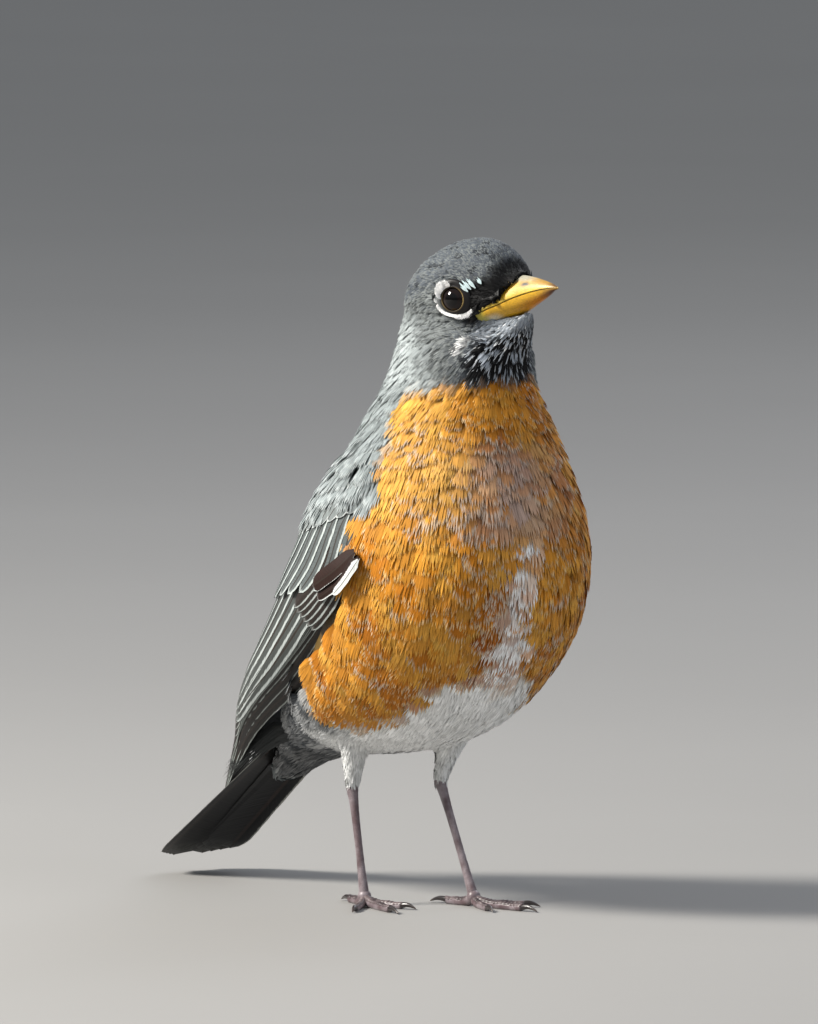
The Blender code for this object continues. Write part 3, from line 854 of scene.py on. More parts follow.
def tufts(paths, normals, widths, depths, looks, draw, locks=9, rows=3, ragged=0.3,
          splay=0.10, lift=0.25, cup=0.10, sink=0.0, taper=3.2, turned=0.5):
    """Feathers as fans of tapered locks of barbs, joined into one mesh. paths and normals hold
    three arrays each, for the roots, middles and tips; looks are those that markings gives."""
    count = len(widths)
    across = np.linspace(-1, 1, locks)[None] + draw.normal(size=(count, locks)) * 0.35 / locks
    ends = 1 - ragged * across ** 2 - draw.random((count, locks)) * ragged * 0.6
    shares = 1 - (1 - np.linspace(0, 1, rows + 1)) ** 1.6
    t = ends[..., None] * shares  # feather, lock, row
    place, normal = curve_through(paths, t), unit(curve_through(normals, t))
    ahead = unit(curve_through(paths, t + 0.02) - curve_through(paths, t - 0.02))
    over = np.cross(normal, ahead)
    wide = widths[:, None, None]
    spread = np.clip(t, 0, 1) ** 0.65
    bend = draw.normal(size=(count, locks, 1)) * splay
    off = wide * (across[..., None] * spread + bend * t * t)
    height = -depths[:, None, None] * (1 - t) ** 1.6 + lift * MM * t * (0.4 + draw.random((count, 1, 1)))
    height = height + draw.normal(size=(count, locks, 1)) * 0.05 * MM * t
    height = height - cup * off ** 2 / wide - off ** 2 / (52 * MM) - sink * MM
    half = wide / locks * 1.6 * (1 - shares ** taper)[None, None] * (0.45 + 0.55 * np.minimum(t * 4, 1))
    roll = draw.normal(size=(count, locks, 1)) * 0.28
    middle = place + normal * height[..., None]
    sides = []
    for sign in (-1, 1):
        edge = middle + over * (off + sign * half)[..., None] + normal * (sign * roll * half)[..., None]
        sides.append(edge)
    points = np.stack(sides, axis=3)  # feather, lock, row, side, xyz
    tilt = (turned * off / wide - 1.1 * turned * roll)[..., None]
    shade = unit(normal + over * tilt - ahead * 0.06)
    per_lock = rows * 2 + 1
    verts = np.empty((count, locks, per_lock, 3))
    verts[:, :, :-1] = points[:, :, :rows].reshape(count, locks, rows * 2, 3)
    verts[:, :, -1] = middle[:, :, -1] + over[:, :, -1] * off[:, :, -1, None]
    bent = np.empty_like(verts)
    bent[:, :, :-1] = np.repeat(shade[:, :, :rows], 2, axis=2)
    bent[:, :, -1] = shade[:, :, -1]
    barb = np.empty((count, locks, per_lock, 3))
    barb[:, :, :-1, 0] = np.repeat(across[..., None], rows * 2, axis=2)
    barb[:, :, :-1, 0] += np.tile((-1, 1), rows) * 0.8 / locks
    barb[:, :, -1, 0] = across
    barb[:, :, :-1, 1] = np.repeat(shares[:rows], 2)
    barb[:, :, -1, 1] = 1.0
    barb[..., 2] = draw.random((count, 1, 1))
    pattern = []
    for row in range(rows - 1):
        low = row * 2
        pattern += [(low + 1, low, low + 2), (low + 1, low + 2, low + 3)]
    pattern.append((per_lock - 2, per_lock - 3, per_lock - 1))
    first = np.arange(count * locks)[:, None, None] * per_lock
    triangles = (first + np.array(pattern)[None]).reshape(-1, 3)
    mesh = triangle_mesh(verts.reshape(-1, 3), triangles)
    each = locks * per_lock
    paint_feathers(mesh, each, looks, barb)
    root_places = np.repeat(coat_map_places(paths[0]), each, axis=0)
    flat = barb.reshape(-1, 3)[:, :2] * (0.0015, 0.003) - (0, 0.0015)
    bake_map(mesh, root_places + flat)
    mesh.normals_split_custom_set_from_vertices(bent.reshape(-1, 3))
    return mesh


def paint_feathers(mesh, each, looks, barb):
    """Stores the looks of feathers of this many vertices each, and each vertex's place on its
    feather: across it (-1 to 1), along it (0 to 1), and one random number a feather."""
    middle, border, start, sides = (np.repeat(value, each, axis=0) for value in looks)
    paint_points(mesh, "tint", middle, start)
    paint_points(mesh, "fringe", border, sides)
    layer = mesh.attributes.new("barb", "FLOAT_VECTOR", "POINT")
    layer.data.foreach_set("vector", barb.reshape(-1).astype(np.float32))


def bake_map(mesh, places):
    """Gives the mesh its map for baking, from a place for each vertex."""
    corners = np.empty(len(mesh.loops), np.int32)
    mesh.loops.foreach_get("vertex_index", corners)
    layer = mesh.uv_layers.new(name="OFBake")
    layer.uv.foreach_set("vector", places[corners].astype(np.float32).ravel())


# Feather keratin: soft barbs that scatter light, so nearly matt, with a faint silky sheen
# along them. IOR 1.54, roughness about 0.6. Barbs are 0.1 mm apart; the streaks are drawn
# 0.3 mm apart so that they show.
def feather_material(name, fine=11.0, streak=0.24, roughness=0.6, sheen=0.04, bump=0.3):
    made, tree, shader = new_material(name)
    tint, border, barb = (
        add_node(tree, "ShaderNodeAttribute", {"attribute_name": layer})
        for layer in ("tint", "fringe", "barb")
    )
    split = add_node(tree, "ShaderNodeSeparateXYZ", Vector=barb.outputs["Vector"])
    stretch = add_node(tree, "ShaderNodeVectorMath", {"operation": "MULTIPLY"},
                       in_0=barb.outputs["Vector"], in_1=(fine, 1.1, 60.0))
    streaks = add_node(tree, "ShaderNodeTexNoise", Vector=stretch, Scale=1.6, Detail=2.5)
    from_middle = add_node(tree, "ShaderNodeMath", {"operation": "ABSOLUTE"}, in_0=split.outputs["X"])
    place = add_node(tree, "ShaderNodeMix", Factor=border.outputs["Alpha"],
                     in_2=split.outputs["Y"], in_3=from_middle)
    ruffled = add_node(tree, "ShaderNodeMath", {"operation": "MULTIPLY_ADD"},
                       in_0=streaks, in_1=0.30, in_2=place)
    past = add_node(tree, "ShaderNodeMath", {"operation": "SUBTRACT"},
                    in_0=ruffled, in_1=tint.outputs["Alpha"])
    edge = add_node(tree, "ShaderNodeMapRange", {"interpolation_type": "SMOOTHSTEP"},
                    Value=past, From_Min=0.05, From_Max=0.15)
    colour = add_node(tree, "ShaderNodeMix", {"data_type": "RGBA"}, Factor=edge,
                      in_6=tint, in_7=border)
    shade = add_node(tree, "ShaderNodeMapRange", Value=streaks,
                     From_Min=0.3, From_Max=0.7, To_Min=1 - streak, To_Max=1 + streak)
    # Each feather darker towards its root: painted shade where the feathers over it cover it.
    painted_root_shade = add_node(tree, "ShaderNodeMapRange", Value=split.outputs["Y"],
                          From_Min=0.1, From_Max=0.6, To_Min=0.78, To_Max=1.0)
    both = add_node(tree, "ShaderNodeMath", {"operation": "MULTIPLY"},
                    in_0=shade, in_1=painted_root_shade)
    varied = add_node(tree, "ShaderNodeVectorMath", {"operation": "SCALE"},
                      in_0=colour.outputs[2], Scale=both)
    relief = add_node(tree, "ShaderNodeBump", Height=streaks, Strength=bump, Distance=0.0002)
    finish(shader, varied.outputs[0], relief, Roughness=roughness, IOR=1.54, Specular_IOR_Level=0.12,
           Sheen_Weight=sheen, Sheen_Roughness=0.5)
    return made


contour_feathers = feather_material("contour_feather_keratin")


def grow_coat(name, roots, normals, slot, draw, length, width, locks, over_wing=False, **shape):
    """A coat piece over these roots. length and width are multiples of the spacing."""
    spaces = feather_spacing(roots) * MM
    lengths = spaces * length * draw.uniform(0.85, 1.15, len(roots))
    paths, path_normals = laid_paths(roots, normals, lengths, 0.10, draw)
    clear = np.array([wing_tree.find_nearest(tip)[3] > 0.8 * MM for tip in paths[2].tolist()])
    _, ahead, height = body_millimetres(roots).T
    kept = clear | over_wing | (height > 116) | ((height < 92) & (ahead > -6))
    roots, spaces, paths = roots[kept], spaces[kept], [place[kept] for place in paths]
    path_normals = [normal[kept] for normal in path_normals]
    on_bill = ramp(head_millimetres(roots)[:, 1], 15, 18) * ramp(height[kept], 150, 155)
    depths = coat_depth(roots) * (1 - 0.8 * on_bill) * MM
    looks = markings(roots, draw)
    if over_wing:
        count = len(roots)
        grey = pigment["mantle"] * np.exp(draw.normal(size=(count, 1)) * 0.08)
        edge = np.tile(pigment["nape"] * 0.8, (count, 1))
        looks = (grey, edge, np.full(count, 0.82), np.full(count, 0.1))
    mesh = tufts(paths, path_normals, spaces * width, depths, looks, draw, locks, **shape)
    hang_on(name, mesh, contour_feathers, slot)


# Each area of the coat: its slot, the length and the width of a feather over their spacing, its
# locks, and how it is shaped.
COAT = {
    "face": ("plumage_crown", 3.6, 1.1, 5, {"ragged": 0.3, "lift": 0.12, "sink": 0.65}),
    "neck": ("plumage_crown", 4.4, 1.4, 9, {"ragged": 0.28, "lift": 0.15, "sink": 0.3}),
    "breast": ("plumage_breast", 4.8, 1.6, 14,
               {"ragged": 0.18, "lift": 0.12, "splay": 0.07, "taper": 5.0, "turned": 0.25}),
    "vent": ("plumage_belly", 5.0, 1.4, 11, {"ragged": 0.3, "splay": 0.09, "lift": 0.15}),
    "back": ("plumage_back", 4.4, 1.6, 12, {"ragged": 0.12, "lift": 0.15, "splay": 0.04}),
    "shin": ("plumage_belly", 5.0, 1.3, 6, {"ragged": 0.3, "splay": 0.10, "lift": 0.15}),
}
SIDES = {"left": 1, "right": -1}
coat_draw = np.random.default_rng(11)
roots, root_normals = scattered_roots(seed=2, candidates=70000)
root_left, root_ahead, root_up = body_millimetres(roots).T
root_spaces = feather_spacing(roots)
hood = root_up > 141
small = root_spaces < 1.2
shin = (root_spaces < 1.7) & (root_up < 60)
back = ~hood & (root_normals[:, 1] > 0.25) & (root_up > 40)
vent = ~(hood | back | shin) & (root_up < 52) & (root_ahead < 12)
areas = {
    "face": hood & small, "neck": hood & ~small, "breast": ~(hood | shin | back | vent),
    "vent": vent, "back": back, "shin": shin,
}
for side, here in (("left", root_left > 0), ("right", root_left <= 0)):
    for area, (slot, length, width, locks, shape) in COAT.items():
        chosen = areas[area] & here
        grow_coat(f"coat_{area}_{side}", roots[chosen], root_normals[chosen], slot, coat_draw,
                  length, width, locks, **shape)


# ---------------------------------------------------------------------------------------------
# The folded wings. On each, long stiff flight feathers lie stacked like a closed fan: nine
# primaries lowest, then six secondaries and three tertials, with shorter coverts over their
# quills. All are keratin vanes on a shaft, dusky with pale outer edges, brown on the alula.
# ---------------------------------------------------------------------------------------------
# The left wing from shoulder to tip: its lower edge, the crest of its outer face and its upper
# edge, each (left, ahead, up), then how thick the stack of feathers is.
WING_ROWS = np.array((
    (28.5, 27.0, 121.0, 27.5, 17.0, 127.0, 20.0, 6.0, 130.5, 4.0),
    (35.2, 19.0, 105.0, 33.5, 3.0, 111.0, 16.5, -12.5, 119.0, 5.5),
    (36.8, 18.0, 87.0, 35.5, -8.0, 94.0, 12.0, -26.5, 101.5, 5.5),
    (35.5, 3.0, 71.0, 34.8, -21.6, 77.0, 9.0, -39.5, 83.5, 4.5),
    (30.0, -15.0, 58.0, 31.4, -37.2, 62.5, 8.5, -52.5, 66.5, 3.5),
    (24.0, -38.5, 46.5, 24.6, -53.5, 50.2, 7.5, -65.5, 52.5, 2.6),
    (16.5, -60.5, 36.3, 16.3, -68.2, 39.5, 6.5, -75.2, 40.3, 1.9),
    (9.5, -81.8, 24.2, 8.6, -84.4, 25.1, 7.0, -85.9, 24.7, 1.2),
))
# The patch that the alula lies on, over the wrist, in the same way.
ALULA_ROWS = np.array((
    (36.4, 27.2, 97.0, 36.6, 25.4, 98.6, 36.4, 22.8, 100.2, 2.0),
    (38.4, 20.5, 90.0, 38.6, 18.4, 92.8, 38.8, 16.0, 95.6, 2.0),
    (39.0, 9.2, 84.6, 39.3, 8.8, 87.9, 39.3, 8.8, 91.2, 1.6),
))


def wing_surface(sign, rows=WING_ROWS):
    """A function from places on the wing, down it in rows and from its lower edge (0) to its
    upper edge (1), to points on its outer face and the thickness of the stack there."""
    def surface(down, over):
        row, v = through_rows(rows, down), over[..., None]
        spot = row[..., 0:3] * (1 - v) * (1 - 2 * v) + row[..., 3:6] * 4 * v * (1 - v)
        spot = spot + row[..., 6:9] * v * (2 * v - 1)
        return np.array(ground_point) + spot * (sign * MM, -MM, MM), row[..., 9]
    return surface


def axes_on(surface, down, over, facing):
    """How a surface runs down and across, and its outward normal."""
    step = 0.004
    along = (surface(down + step, over)[0] - surface(down - step, over)[0]) / (2 * step)
    across = (surface(down, over + step)[0] - surface(down, over - step)[0]) / (2 * step)
    return along, across, unit(np.cross(along, across)) * facing


def vane_outline(t, blunt):
    """The share of its full width that a vane has along its length."""
    root = 0.35 + 0.65 * ramp(t, 0.0, 0.22)
    tip = np.clip((1 - t) / np.maximum(blunt, 1e-3), 0, 1)
    return root * np.sqrt(1 - (1 - tip) ** 2)


def evenly(count, first, step=(0, 0)):
    """Pairs of numbers, each this step on from the one before."""
    return [(first[0] + step[0] * i, first[1] + step[1] * i) for i in range(count)]


def vanes(surface, facing, starts, ends, bows, widths, layers, blunts, colours, edges, all_round,
          rows, seed, columns=4):
    """Feathers laid on a surface, each a thin closed vane with a raised shaft.

    starts and ends are places on the surface (down, over), widths the outer and inner web in
    millimetres, and layers how far out in the stack each lies, up to 1. colours are those of
    the web and of its pale edge, edges where that starts on the outer web, and all_round how
    surely it goes on round the tip.
    """
    draw = np.random.default_rng(seed)
    starts, ends = np.array(starts, float), np.array(ends, float)
    count = len(starts)
    widths = np.broadcast_to(np.array(widths, float), (count, 2))
    bows, layers, blunts, edges, all_round = (
        np.broadcast_to(np.array(value, float), count)
        for value in (bows, layers, blunts, edges, all_round)
    )
    web, border = (np.tile(linear(colour), (count, 1)) for colour in colours)
    web = web * np.linspace(0.88, 1.12, count)[:, None]
    t = (1 - (1 - np.linspace(0, 1, rows)) ** 1.25)[None, :]
    down = starts[:, :1] + (ends[:, :1] - starts[:, :1]) * t
    over = starts[:, 1:] + (ends[:, 1:] - starts[:, 1:]) * t + bows[:, None] * 4 * t * (1 - t)
    along, across, outward = axes_on(surface, down, over, facing)
    ahead = unit(np.gradient(surface(down, over)[0], axis=1))
    aside = unit(across - ahead * (across * ahead).sum(-1, keepdims=True))
    uu, uv, vv = (along * along).sum(-1), (along * across).sum(-1), (across * across).sum(-1)
    bu, bv = (aside * along).sum(-1), (aside * across).sum(-1)
    spread = uu * vv - uv * uv
    to_down, to_over = (bu * vv - bv * uv) / spread, (bv * uu - bu * uv) / spread
    x = np.concatenate([np.linspace(-1, 0, columns + 1), np.linspace(0, 1, columns + 1)[1:]])
    shape = vane_outline(t, blunts[:, None])
    outer, inner = widths[:, :1] * shape, widths[:, 1:] * shape
    off = np.where(x < 0, outer[..., None] * x, inner[..., None] * x) * MM  # feather, row, column
    off = off + draw.normal(size=off.shape) * 0.05 * MM * (np.abs(x) > 0.9)  # the edges are frayed
    place, thick = surface(down[..., None] + to_down[..., None] * off,
                           over[..., None] + to_over[..., None] * off)
    thick = thick.mean(axis=2) * (1 - layers[:, None]) * MM
    ridge = np.exp(-((x / 0.22) ** 2)) * 0.12 * MM
    droop = np.where(x < 0, 0.05, 0.6) * x ** 2 * MM
    sag = -thick[..., None] + (ridge - droop) * shape[..., None]
    top = place + outward[:, :, None] * sag[..., None]
    body = 0.10 * MM * (1 - np.abs(x) ** 3)
    bottom = top - outward[:, :, None] * body[None, None, :, None]
    wide = len(x)
    points = np.stack([top, bottom], axis=1).reshape(-1, 3)
    grid = np.arange(rows * wide).reshape(rows, wide)
    face_up = halves(grid[:-1, :-1], grid[:-1, 1:], grid[1:, 1:], grid[1:, :-1])
    if facing > 0:
        face_up = face_up[:, ::-1]
    one = np.concatenate([face_up, face_up[:, ::-1] + rows * wide])
    first = (np.arange(count) * 2 * rows * wide)[:, None, None]
    mesh = triangle_mesh(points, (one[None] + first).reshape(-1, 3))
    each = 2 * rows * wide
    barb = np.empty((count, 2, rows, wide, 3))
    barb[..., 0] = x
    barb[..., 1] = t[0][None, None, :, None]
    barb[..., 2] = draw.random(count)[:, None, None, None]
    paint_feathers(mesh, each, (web, border, edges, all_round), barb)
    cell = 1.0 / math.ceil(math.sqrt(count * 2))
    number = np.arange(count * 2).reshape(count, 2, 1, 1) * np.ones((1, 1, rows, wide))
    columns_in_map = round(1 / cell)
    map_x = (number % columns_in_map + 0.5 + 0.44 * barb[..., 0]) * cell
    map_y = (number // columns_in_map + 0.06 + 0.88 * barb[..., 1]) * cell
    bake_map(mesh, np.stack([map_x, map_y], -1).reshape(-1, 2))
    return mesh


# Flight feather keratin: hooked barbs make one smooth sheet, dusky with melanin, that shines
# softly. IOR 1.54, roughness about 0.5. Barbs slant 35 degrees off the shaft; their lines are
# drawn 1 mm apart on the longest feathers and 0.2 mm apart on the shortest.
def vane_material(name, roughness=0.5, shaft="#2b2019"):
    made, tree, shader = new_material(name)
    tint, border, barb = (
        add_node(tree, "ShaderNodeAttribute", {"attribute_name": layer})
        for layer in ("tint", "fringe", "barb")
    )
    split = add_node(tree, "ShaderNodeSeparateXYZ", Vector=barb.outputs["Vector"])
    x, y = split.outputs["X"], split.outputs["Y"]
    from_shaft = add_node(tree, "ShaderNodeMath", {"operation": "ABSOLUTE"}, in_0=x)
    slant = add_node(tree, "ShaderNodeMath", {"operation": "MULTIPLY_ADD"},
                     in_0=from_shaft, in_1=-0.09, in_2=y)
    joined = add_node(tree, "ShaderNodeCombineXYZ", X=slant, Y=from_shaft,
                      Z=split.outputs["Z"])
    stretch = add_node(tree, "ShaderNodeVectorMath", {"operation": "MULTIPLY"},
                       in_0=joined, in_1=(90.0, 1.0, 50.0))
    lines = add_node(tree, "ShaderNodeTexNoise", Vector=stretch, Scale=1.0, Detail=2.0)
    wear = add_node(tree, "ShaderNodeMath", {"operation": "MULTIPLY_ADD"},
                    in_0=lines, in_1=0.25, in_2=-0.12)
    outwards = add_node(tree, "ShaderNodeMath", {"operation": "MULTIPLY_ADD"},
                        in_0=x, in_1=-1.0, in_2=wear)
    past = add_node(tree, "ShaderNodeMath", {"operation": "SUBTRACT"},
                    in_0=outwards, in_1=tint.outputs["Alpha"])
    outer_edge = add_node(tree, "ShaderNodeMapRange", {"interpolation_type": "SMOOTHSTEP"},
                          Value=past, From_Min=0.0, From_Max=0.16)
    tip = add_node(tree, "ShaderNodeMapRange", {"interpolation_type": "SMOOTHSTEP"},
                   Value=y, From_Min=0.93, From_Max=0.985)
    round_tip = add_node(tree, "ShaderNodeMath", {"operation": "MULTIPLY"},
                         in_0=tip.outputs[0], in_1=border.outputs["Alpha"])
    edge = add_node(tree, "ShaderNodeMath", {"operation": "MAXIMUM"},
                    in_0=outer_edge, in_1=round_tip)
    colour = add_node(tree, "ShaderNodeMix", {"data_type": "RGBA"}, Factor=edge,
                      in_6=tint, in_7=border)
    shade = add_node(tree, "ShaderNodeMapRange", Value=lines,
                     From_Min=0.3, From_Max=0.7, To_Min=0.78, To_Max=1.22)
    varied = add_node(tree, "ShaderNodeVectorMath", {"operation": "SCALE"},
                      in_0=colour.outputs[2], Scale=shade)
    on_shaft = add_node(tree, "ShaderNodeMapRange", Value=from_shaft,
                        From_Min=0.05, From_Max=0.10, To_Min=0.85, To_Max=0.0)
    with_shaft = add_node(tree, "ShaderNodeMix", {"data_type": "RGBA"}, Factor=on_shaft,
                          in_6=varied.outputs[0], in_7=(*linear(shaft), 1))
    relief = add_node(tree, "ShaderNodeBump", Height=lines, Strength=0.35, Distance=0.0002)
    finish(shader, with_shaft.outputs[2], relief, Roughness=roughness, IOR=1.54, Specular_IOR_Level=0.25)
    return made


flight_feathers = vane_material("flight_feather_keratin")
covert_feathers = vane_material("covert_feather_keratin", roughness=0.58)


wing_grid = np.meshgrid(np.linspace(0, 4, 81), np.linspace(0, 1, 41), indexing="ij")
wing_grid = np.stack(wing_grid, -1).reshape(-1, 2)


def lesser_coverts(side, draw):
    """Short soft feathers over the top of the wing, reaching further down it towards the back."""
    search = search_of(wing_surface(SIDES[side])(wing_grid[:, 0], wing_grid[:, 1])[0])
    found = [search.find(point) for point in wing_roots.tolist()]
    down, over = wing_grid[[item[1] for item in found]].T
    near = np.array([item[2] for item in found]) < 5.0 * MM
    chosen = near & (down < 0.45 + 1.05 * over)
    grow_coat(f"lesser_coverts_{side}", wing_roots[chosen], wing_root_normals[chosen], "plumage_back",
              draw, length=4.0, width=1.3, locks=10, over_wing=True, ragged=0.12, lift=0.3,
              splay=0.05, sink=-0.45)


wing_roots, wing_root_normals = scattered_roots(seed=4, candidates=20000, on_wings=True)
wing_draw = np.random.default_rng(12)
PRIMARY_TIPS = (
    (6.55, 0.20), (6.95, 0.38), (7.0, 0.55), (6.84, 0.60), (6.5, 0.55), (6.15, 0.50), (5.85, 0.48),
    (5.62, 0.48), (5.42, 0.50),
)
SECONDARY_TIPS = (5.35, 5.2, 5.05, 4.9, 4.75, 4.6, 4.55, 4.2, 3.8)
nine = np.arange(9)
# Each group of wing feathers: the surface, the material, the slot, the CAD node that it stands
# for, and the shapes and colours of the feathers, from the lowest of the group to the highest.
WING_FEATHERS = {
    "primary": (WING_ROWS, flight_feathers, "plumage_quill", ["primaries"], {
        "starts": evenly(9, (2.0, 0.02), (0, 0.022)), "ends": PRIMARY_TIPS,
        "bows": -0.10 + 0.002 * nine, "widths": evenly(9, (1.5, 5.2), (0.05, 0)),
        "layers": np.linspace(0.12, 0.50, 9), "blunts": np.linspace(0.13, 0.10, 9),
        "colours": ("#1c1815", "#8e9490"), "edges": 0.74, "all_round": 0.0, "rows": 22, "seed": 21,
    }),
    "secondary": (WING_ROWS, flight_feathers, "plumage_quill", ["secondaries"], {
        "starts": evenly(9, (1.7, 0.16), (0, 0.085)),
        "ends": list(zip(SECONDARY_TIPS, 0.42 + 0.066 * nine)),
        "bows": -0.10 + 0.006 * nine, "widths": evenly(9, (2.0, 5.6), (0.2, 0)),
        "layers": np.linspace(0.52, 0.86, 9), "blunts": np.linspace(0.14, 0.22, 9),
        "colours": ("#474b49", "#acb3b1"), "edges": 0.60, "all_round": 0.3, "rows": 20, "seed": 22,
    }),
    "greater_covert": (WING_ROWS, covert_feathers, "plumage_back", [], {
        "starts": evenly(10, (0.75, -0.05), (0.055, 0.097)),
        "ends": evenly(10, (2.00, 0.06), (0.130, 0.095)), "bows": -0.02, "widths": (1.9, 3.6),
        "layers": np.linspace(0.88, 0.94, 10), "blunts": 0.20,
        "colours": ("#5a6060", "#b4bcba"), "edges": 0.56, "all_round": 0.8, "rows": 12, "seed": 23,
    }),
    "primary_covert": (WING_ROWS, covert_feathers, "plumage_quill", [], {
        "starts": evenly(6, (1.4, 0.01), (0, 0.02)), "ends": evenly(6, (2.75, 0.06), (-0.05, 0.035)),
        "bows": -0.01, "widths": (1.3, 3.0), "layers": np.linspace(0.72, 0.86, 6), "blunts": 0.2,
        "colours": ("#292320", "#9ea4a1"), "edges": 0.58, "all_round": 0.2, "rows": 12, "seed": 24,
    }),
    "alula": (ALULA_ROWS, covert_feathers, "plumage_quill", [], {
        "starts": [(0.02, -0.1), (0.10, 0.15), (0.05, 0.55)],
        "ends": [(1.25, -0.25), (1.92, 0.0), (2.0, 0.55)], "bows": 0.0,
        "widths": [(1.1, 2.4), (1.3, 3.0), (2.1, 2.9)], "layers": (1.35, 0.60, 0.90), "blunts": 0.16,
        "colours": ("#220d05", "#d5d9d7"), "edges": (-0.6, 0.70, 0.90), "all_round": 0.1,
        "rows": 14, "seed": 25,
    }),
    "median_covert": (WING_ROWS, covert_feathers, "plumage_back", [], {
        "starts": evenly(12, (0.40, 0.02), (0.05, 0.075)),
        "ends": evenly(12, (0.85, 0.05), (0.12, 0.075)), "bows": 0.0, "widths": (2.0, 2.6),
        "layers": np.linspace(0.96, 0.99, 12), "blunts": 0.40,
        "colours": ("#7b8282", "#d6dbda"), "edges": 0.84, "all_round": 1.0, "rows": 9, "seed": 26,
    }),
}
for side, sign in SIDES.items():
    for name, (table, material, slot, stands_for, shape) in WING_FEATHERS.items():
        mesh = vanes(wing_surface(sign, table), sign, **shape)
        nodes = [f"{node}_{side}" for node in stands_for]
        hang_on(f"{name}_feathers_{side}", mesh, material, slot, *nodes)
    lesser_coverts(side, wing_draw)


# ---------------------------------------------------------------------------------------------
# The tail: twelve stiff feathers in a closed fan, the middle pair on top and each pair further
# out below it. Their quills are rooted in the rump under the last small feathers of the coat.
# ---------------------------------------------------------------------------------------------
TAIL_ROOT, TAIL_TIP = (-1.2, -46.0, 49.0), (-4.5, -108.5, 4.4)
TAIL_ARCH = 2.0  # how far the outer feathers lie below the middle pair

tail_run = np.array(laid_out(*TAIL_TIP) - laid_out(*TAIL_ROOT))
tail_over = unit(np.cross(tail_run, (1.0, 0.0, 0.0)))
tail_over = tail_over * np.sign(tail_over[2])


def tail_surface(sign):
    """A function from places on one half of the tail, down it from root to tip (1) and from
    its outer edge (0) to its middle (1), to points on its top and the thickness there."""
    def surface(down, over):
        v = (1 - over) * sign
        share = down - 0.05 * down * v ** 2
        half_width = 10.5 + 4.5 * np.clip(down, 0, 1) ** 0.8
        thick = 3.4 - 2.2 * down
        place = np.array(on_body(*TAIL_ROOT)) + tail_run * share[..., None]
        place = place + (half_width * v * MM)[..., None] * (1.0, 0.0, 0.0)
        return place + tail_over * ((thick / 2 - TAIL_ARCH * v ** 2) * MM)[..., None], thick
    return surface


pair = np.arange(6)  # from the outermost in to the middle of the tail
for side, sign in SIDES.items():
    on_top = (pair == 5) * (sign > 0)  # the left one of the middle pair lies over the right one
    mesh = vanes(
        tail_surface(sign), sign, starts=evenly(6, (0.02, 0.34), (0, 0.105)),
        ends=np.stack([1.0 - 0.012 * abs(pair - 3), 0.27 + 0.14 * pair + 0.12 * on_top], 1), bows=0.0,
        widths=[(3.5, wide) for wide in (10.8, 10.0, 9.2, 8.4, 8.0, 8.0)],
        layers=np.linspace(0.10, 0.92, 6) + 0.12 * on_top, blunts=0.10, colours=("#0f0e0d", "#a3a49d"),
        edges=0.80, all_round=0.1, rows=24, seed=31, columns=5,
    )
    stands_for = ("tail",) if sign > 0 else ()
    hang_on(f"tail_feathers_{side}", mesh, flight_feathers, "plumage_quill", *stands_for)


# The upper tail coverts: long loose feathers of the rump, grey, that arch over the tail's root.
# Their sides are painted darker, nearly black, as painted shade.
rump_draw = np.random.default_rng(33)
arch = np.radians(np.concatenate([np.linspace(-112, 112, 27), np.linspace(-106, 106, 23)]))
short = np.concatenate([np.zeros(27), np.ones(23)])
spots = (
    np.stack([14.5 * np.sin(arch), -34 - 3 * short, 47.0 + 10 * np.cos(arch)], 1),
    np.stack([15.0 * np.sin(arch), -50 + 3 * short, 44.5 + 6.5 * np.cos(arch)], 1),
    np.stack([12.5 * np.sin(arch), -79 + 17 * short, 29.0 + 12.5 * short + 4.5 * np.cos(arch)], 1),
)
root, middle, tip = (np.array([on_body(*spot) for spot in group]) for group in spots)
root = on_outline(root)[0]
outwards = unit(np.stack([np.sin(arch), 0 * arch + 0.3, np.cos(arch)], 1))
count = len(arch)
shade = np.exp(rump_draw.normal(size=(count, 1)) * 0.08)
# Painted shade: the feathers darken to near black down the sides of the arch.
shade = shade * (0.08 + 0.62 * ramp(np.cos(arch), 0.85, 1.0))[:, None]  # darker down its sides
looks = (pigment["mantle"] * shade, pigment["mantle"] * shade, np.full(count, 0.93), np.full(count, 0.1))
mesh = tufts((root, middle, tip), (outwards,) * 3, np.full(count, 3.4 * MM),
             np.full(count, 1.0 * MM), looks, rump_draw, locks=13, ragged=0.16, lift=0.2, splay=0.05)
hang_on("upper_tail_covert_feathers", mesh, contour_feathers, "plumage_back")


# ---------------------------------------------------------------------------------------------
# The bill: two bony halves in a thin sheath of horn, the upper one hooked a little over the
# lower at its tip. The nostrils are dark spots of painted shade where their openings lie, and
# the greenish corners of the gape are colour only. Both halves are rooted in the skull, the
# feathers of the face lying over their roots.
# ---------------------------------------------------------------------------------------------
NOSTRIL_AHEAD, NOSTRIL_TURN = 27.3, 52.0  # millimetres in the head's frame, degrees round it
GAP = 0.12  # how far each half stands off the line where they meet
HORN = {
    "yellow": "#cb9b18", "pale yellow": "#d6b440", "dusky": "#a39f8c", "brown": "#8d6c3c",
    "tip": "#4a2f28", "orange": "#bb5f14", "bone": "#d4cab0", "green": "#a5a23a", "dark": "#1a1412",
}
horn = {name: linear(colour) for name, colour in HORN.items()}


def tint_with(colours, name, amounts):
    return colours + (horn[name] - colours) * np.clip(amounts, 0, 1)[..., None]


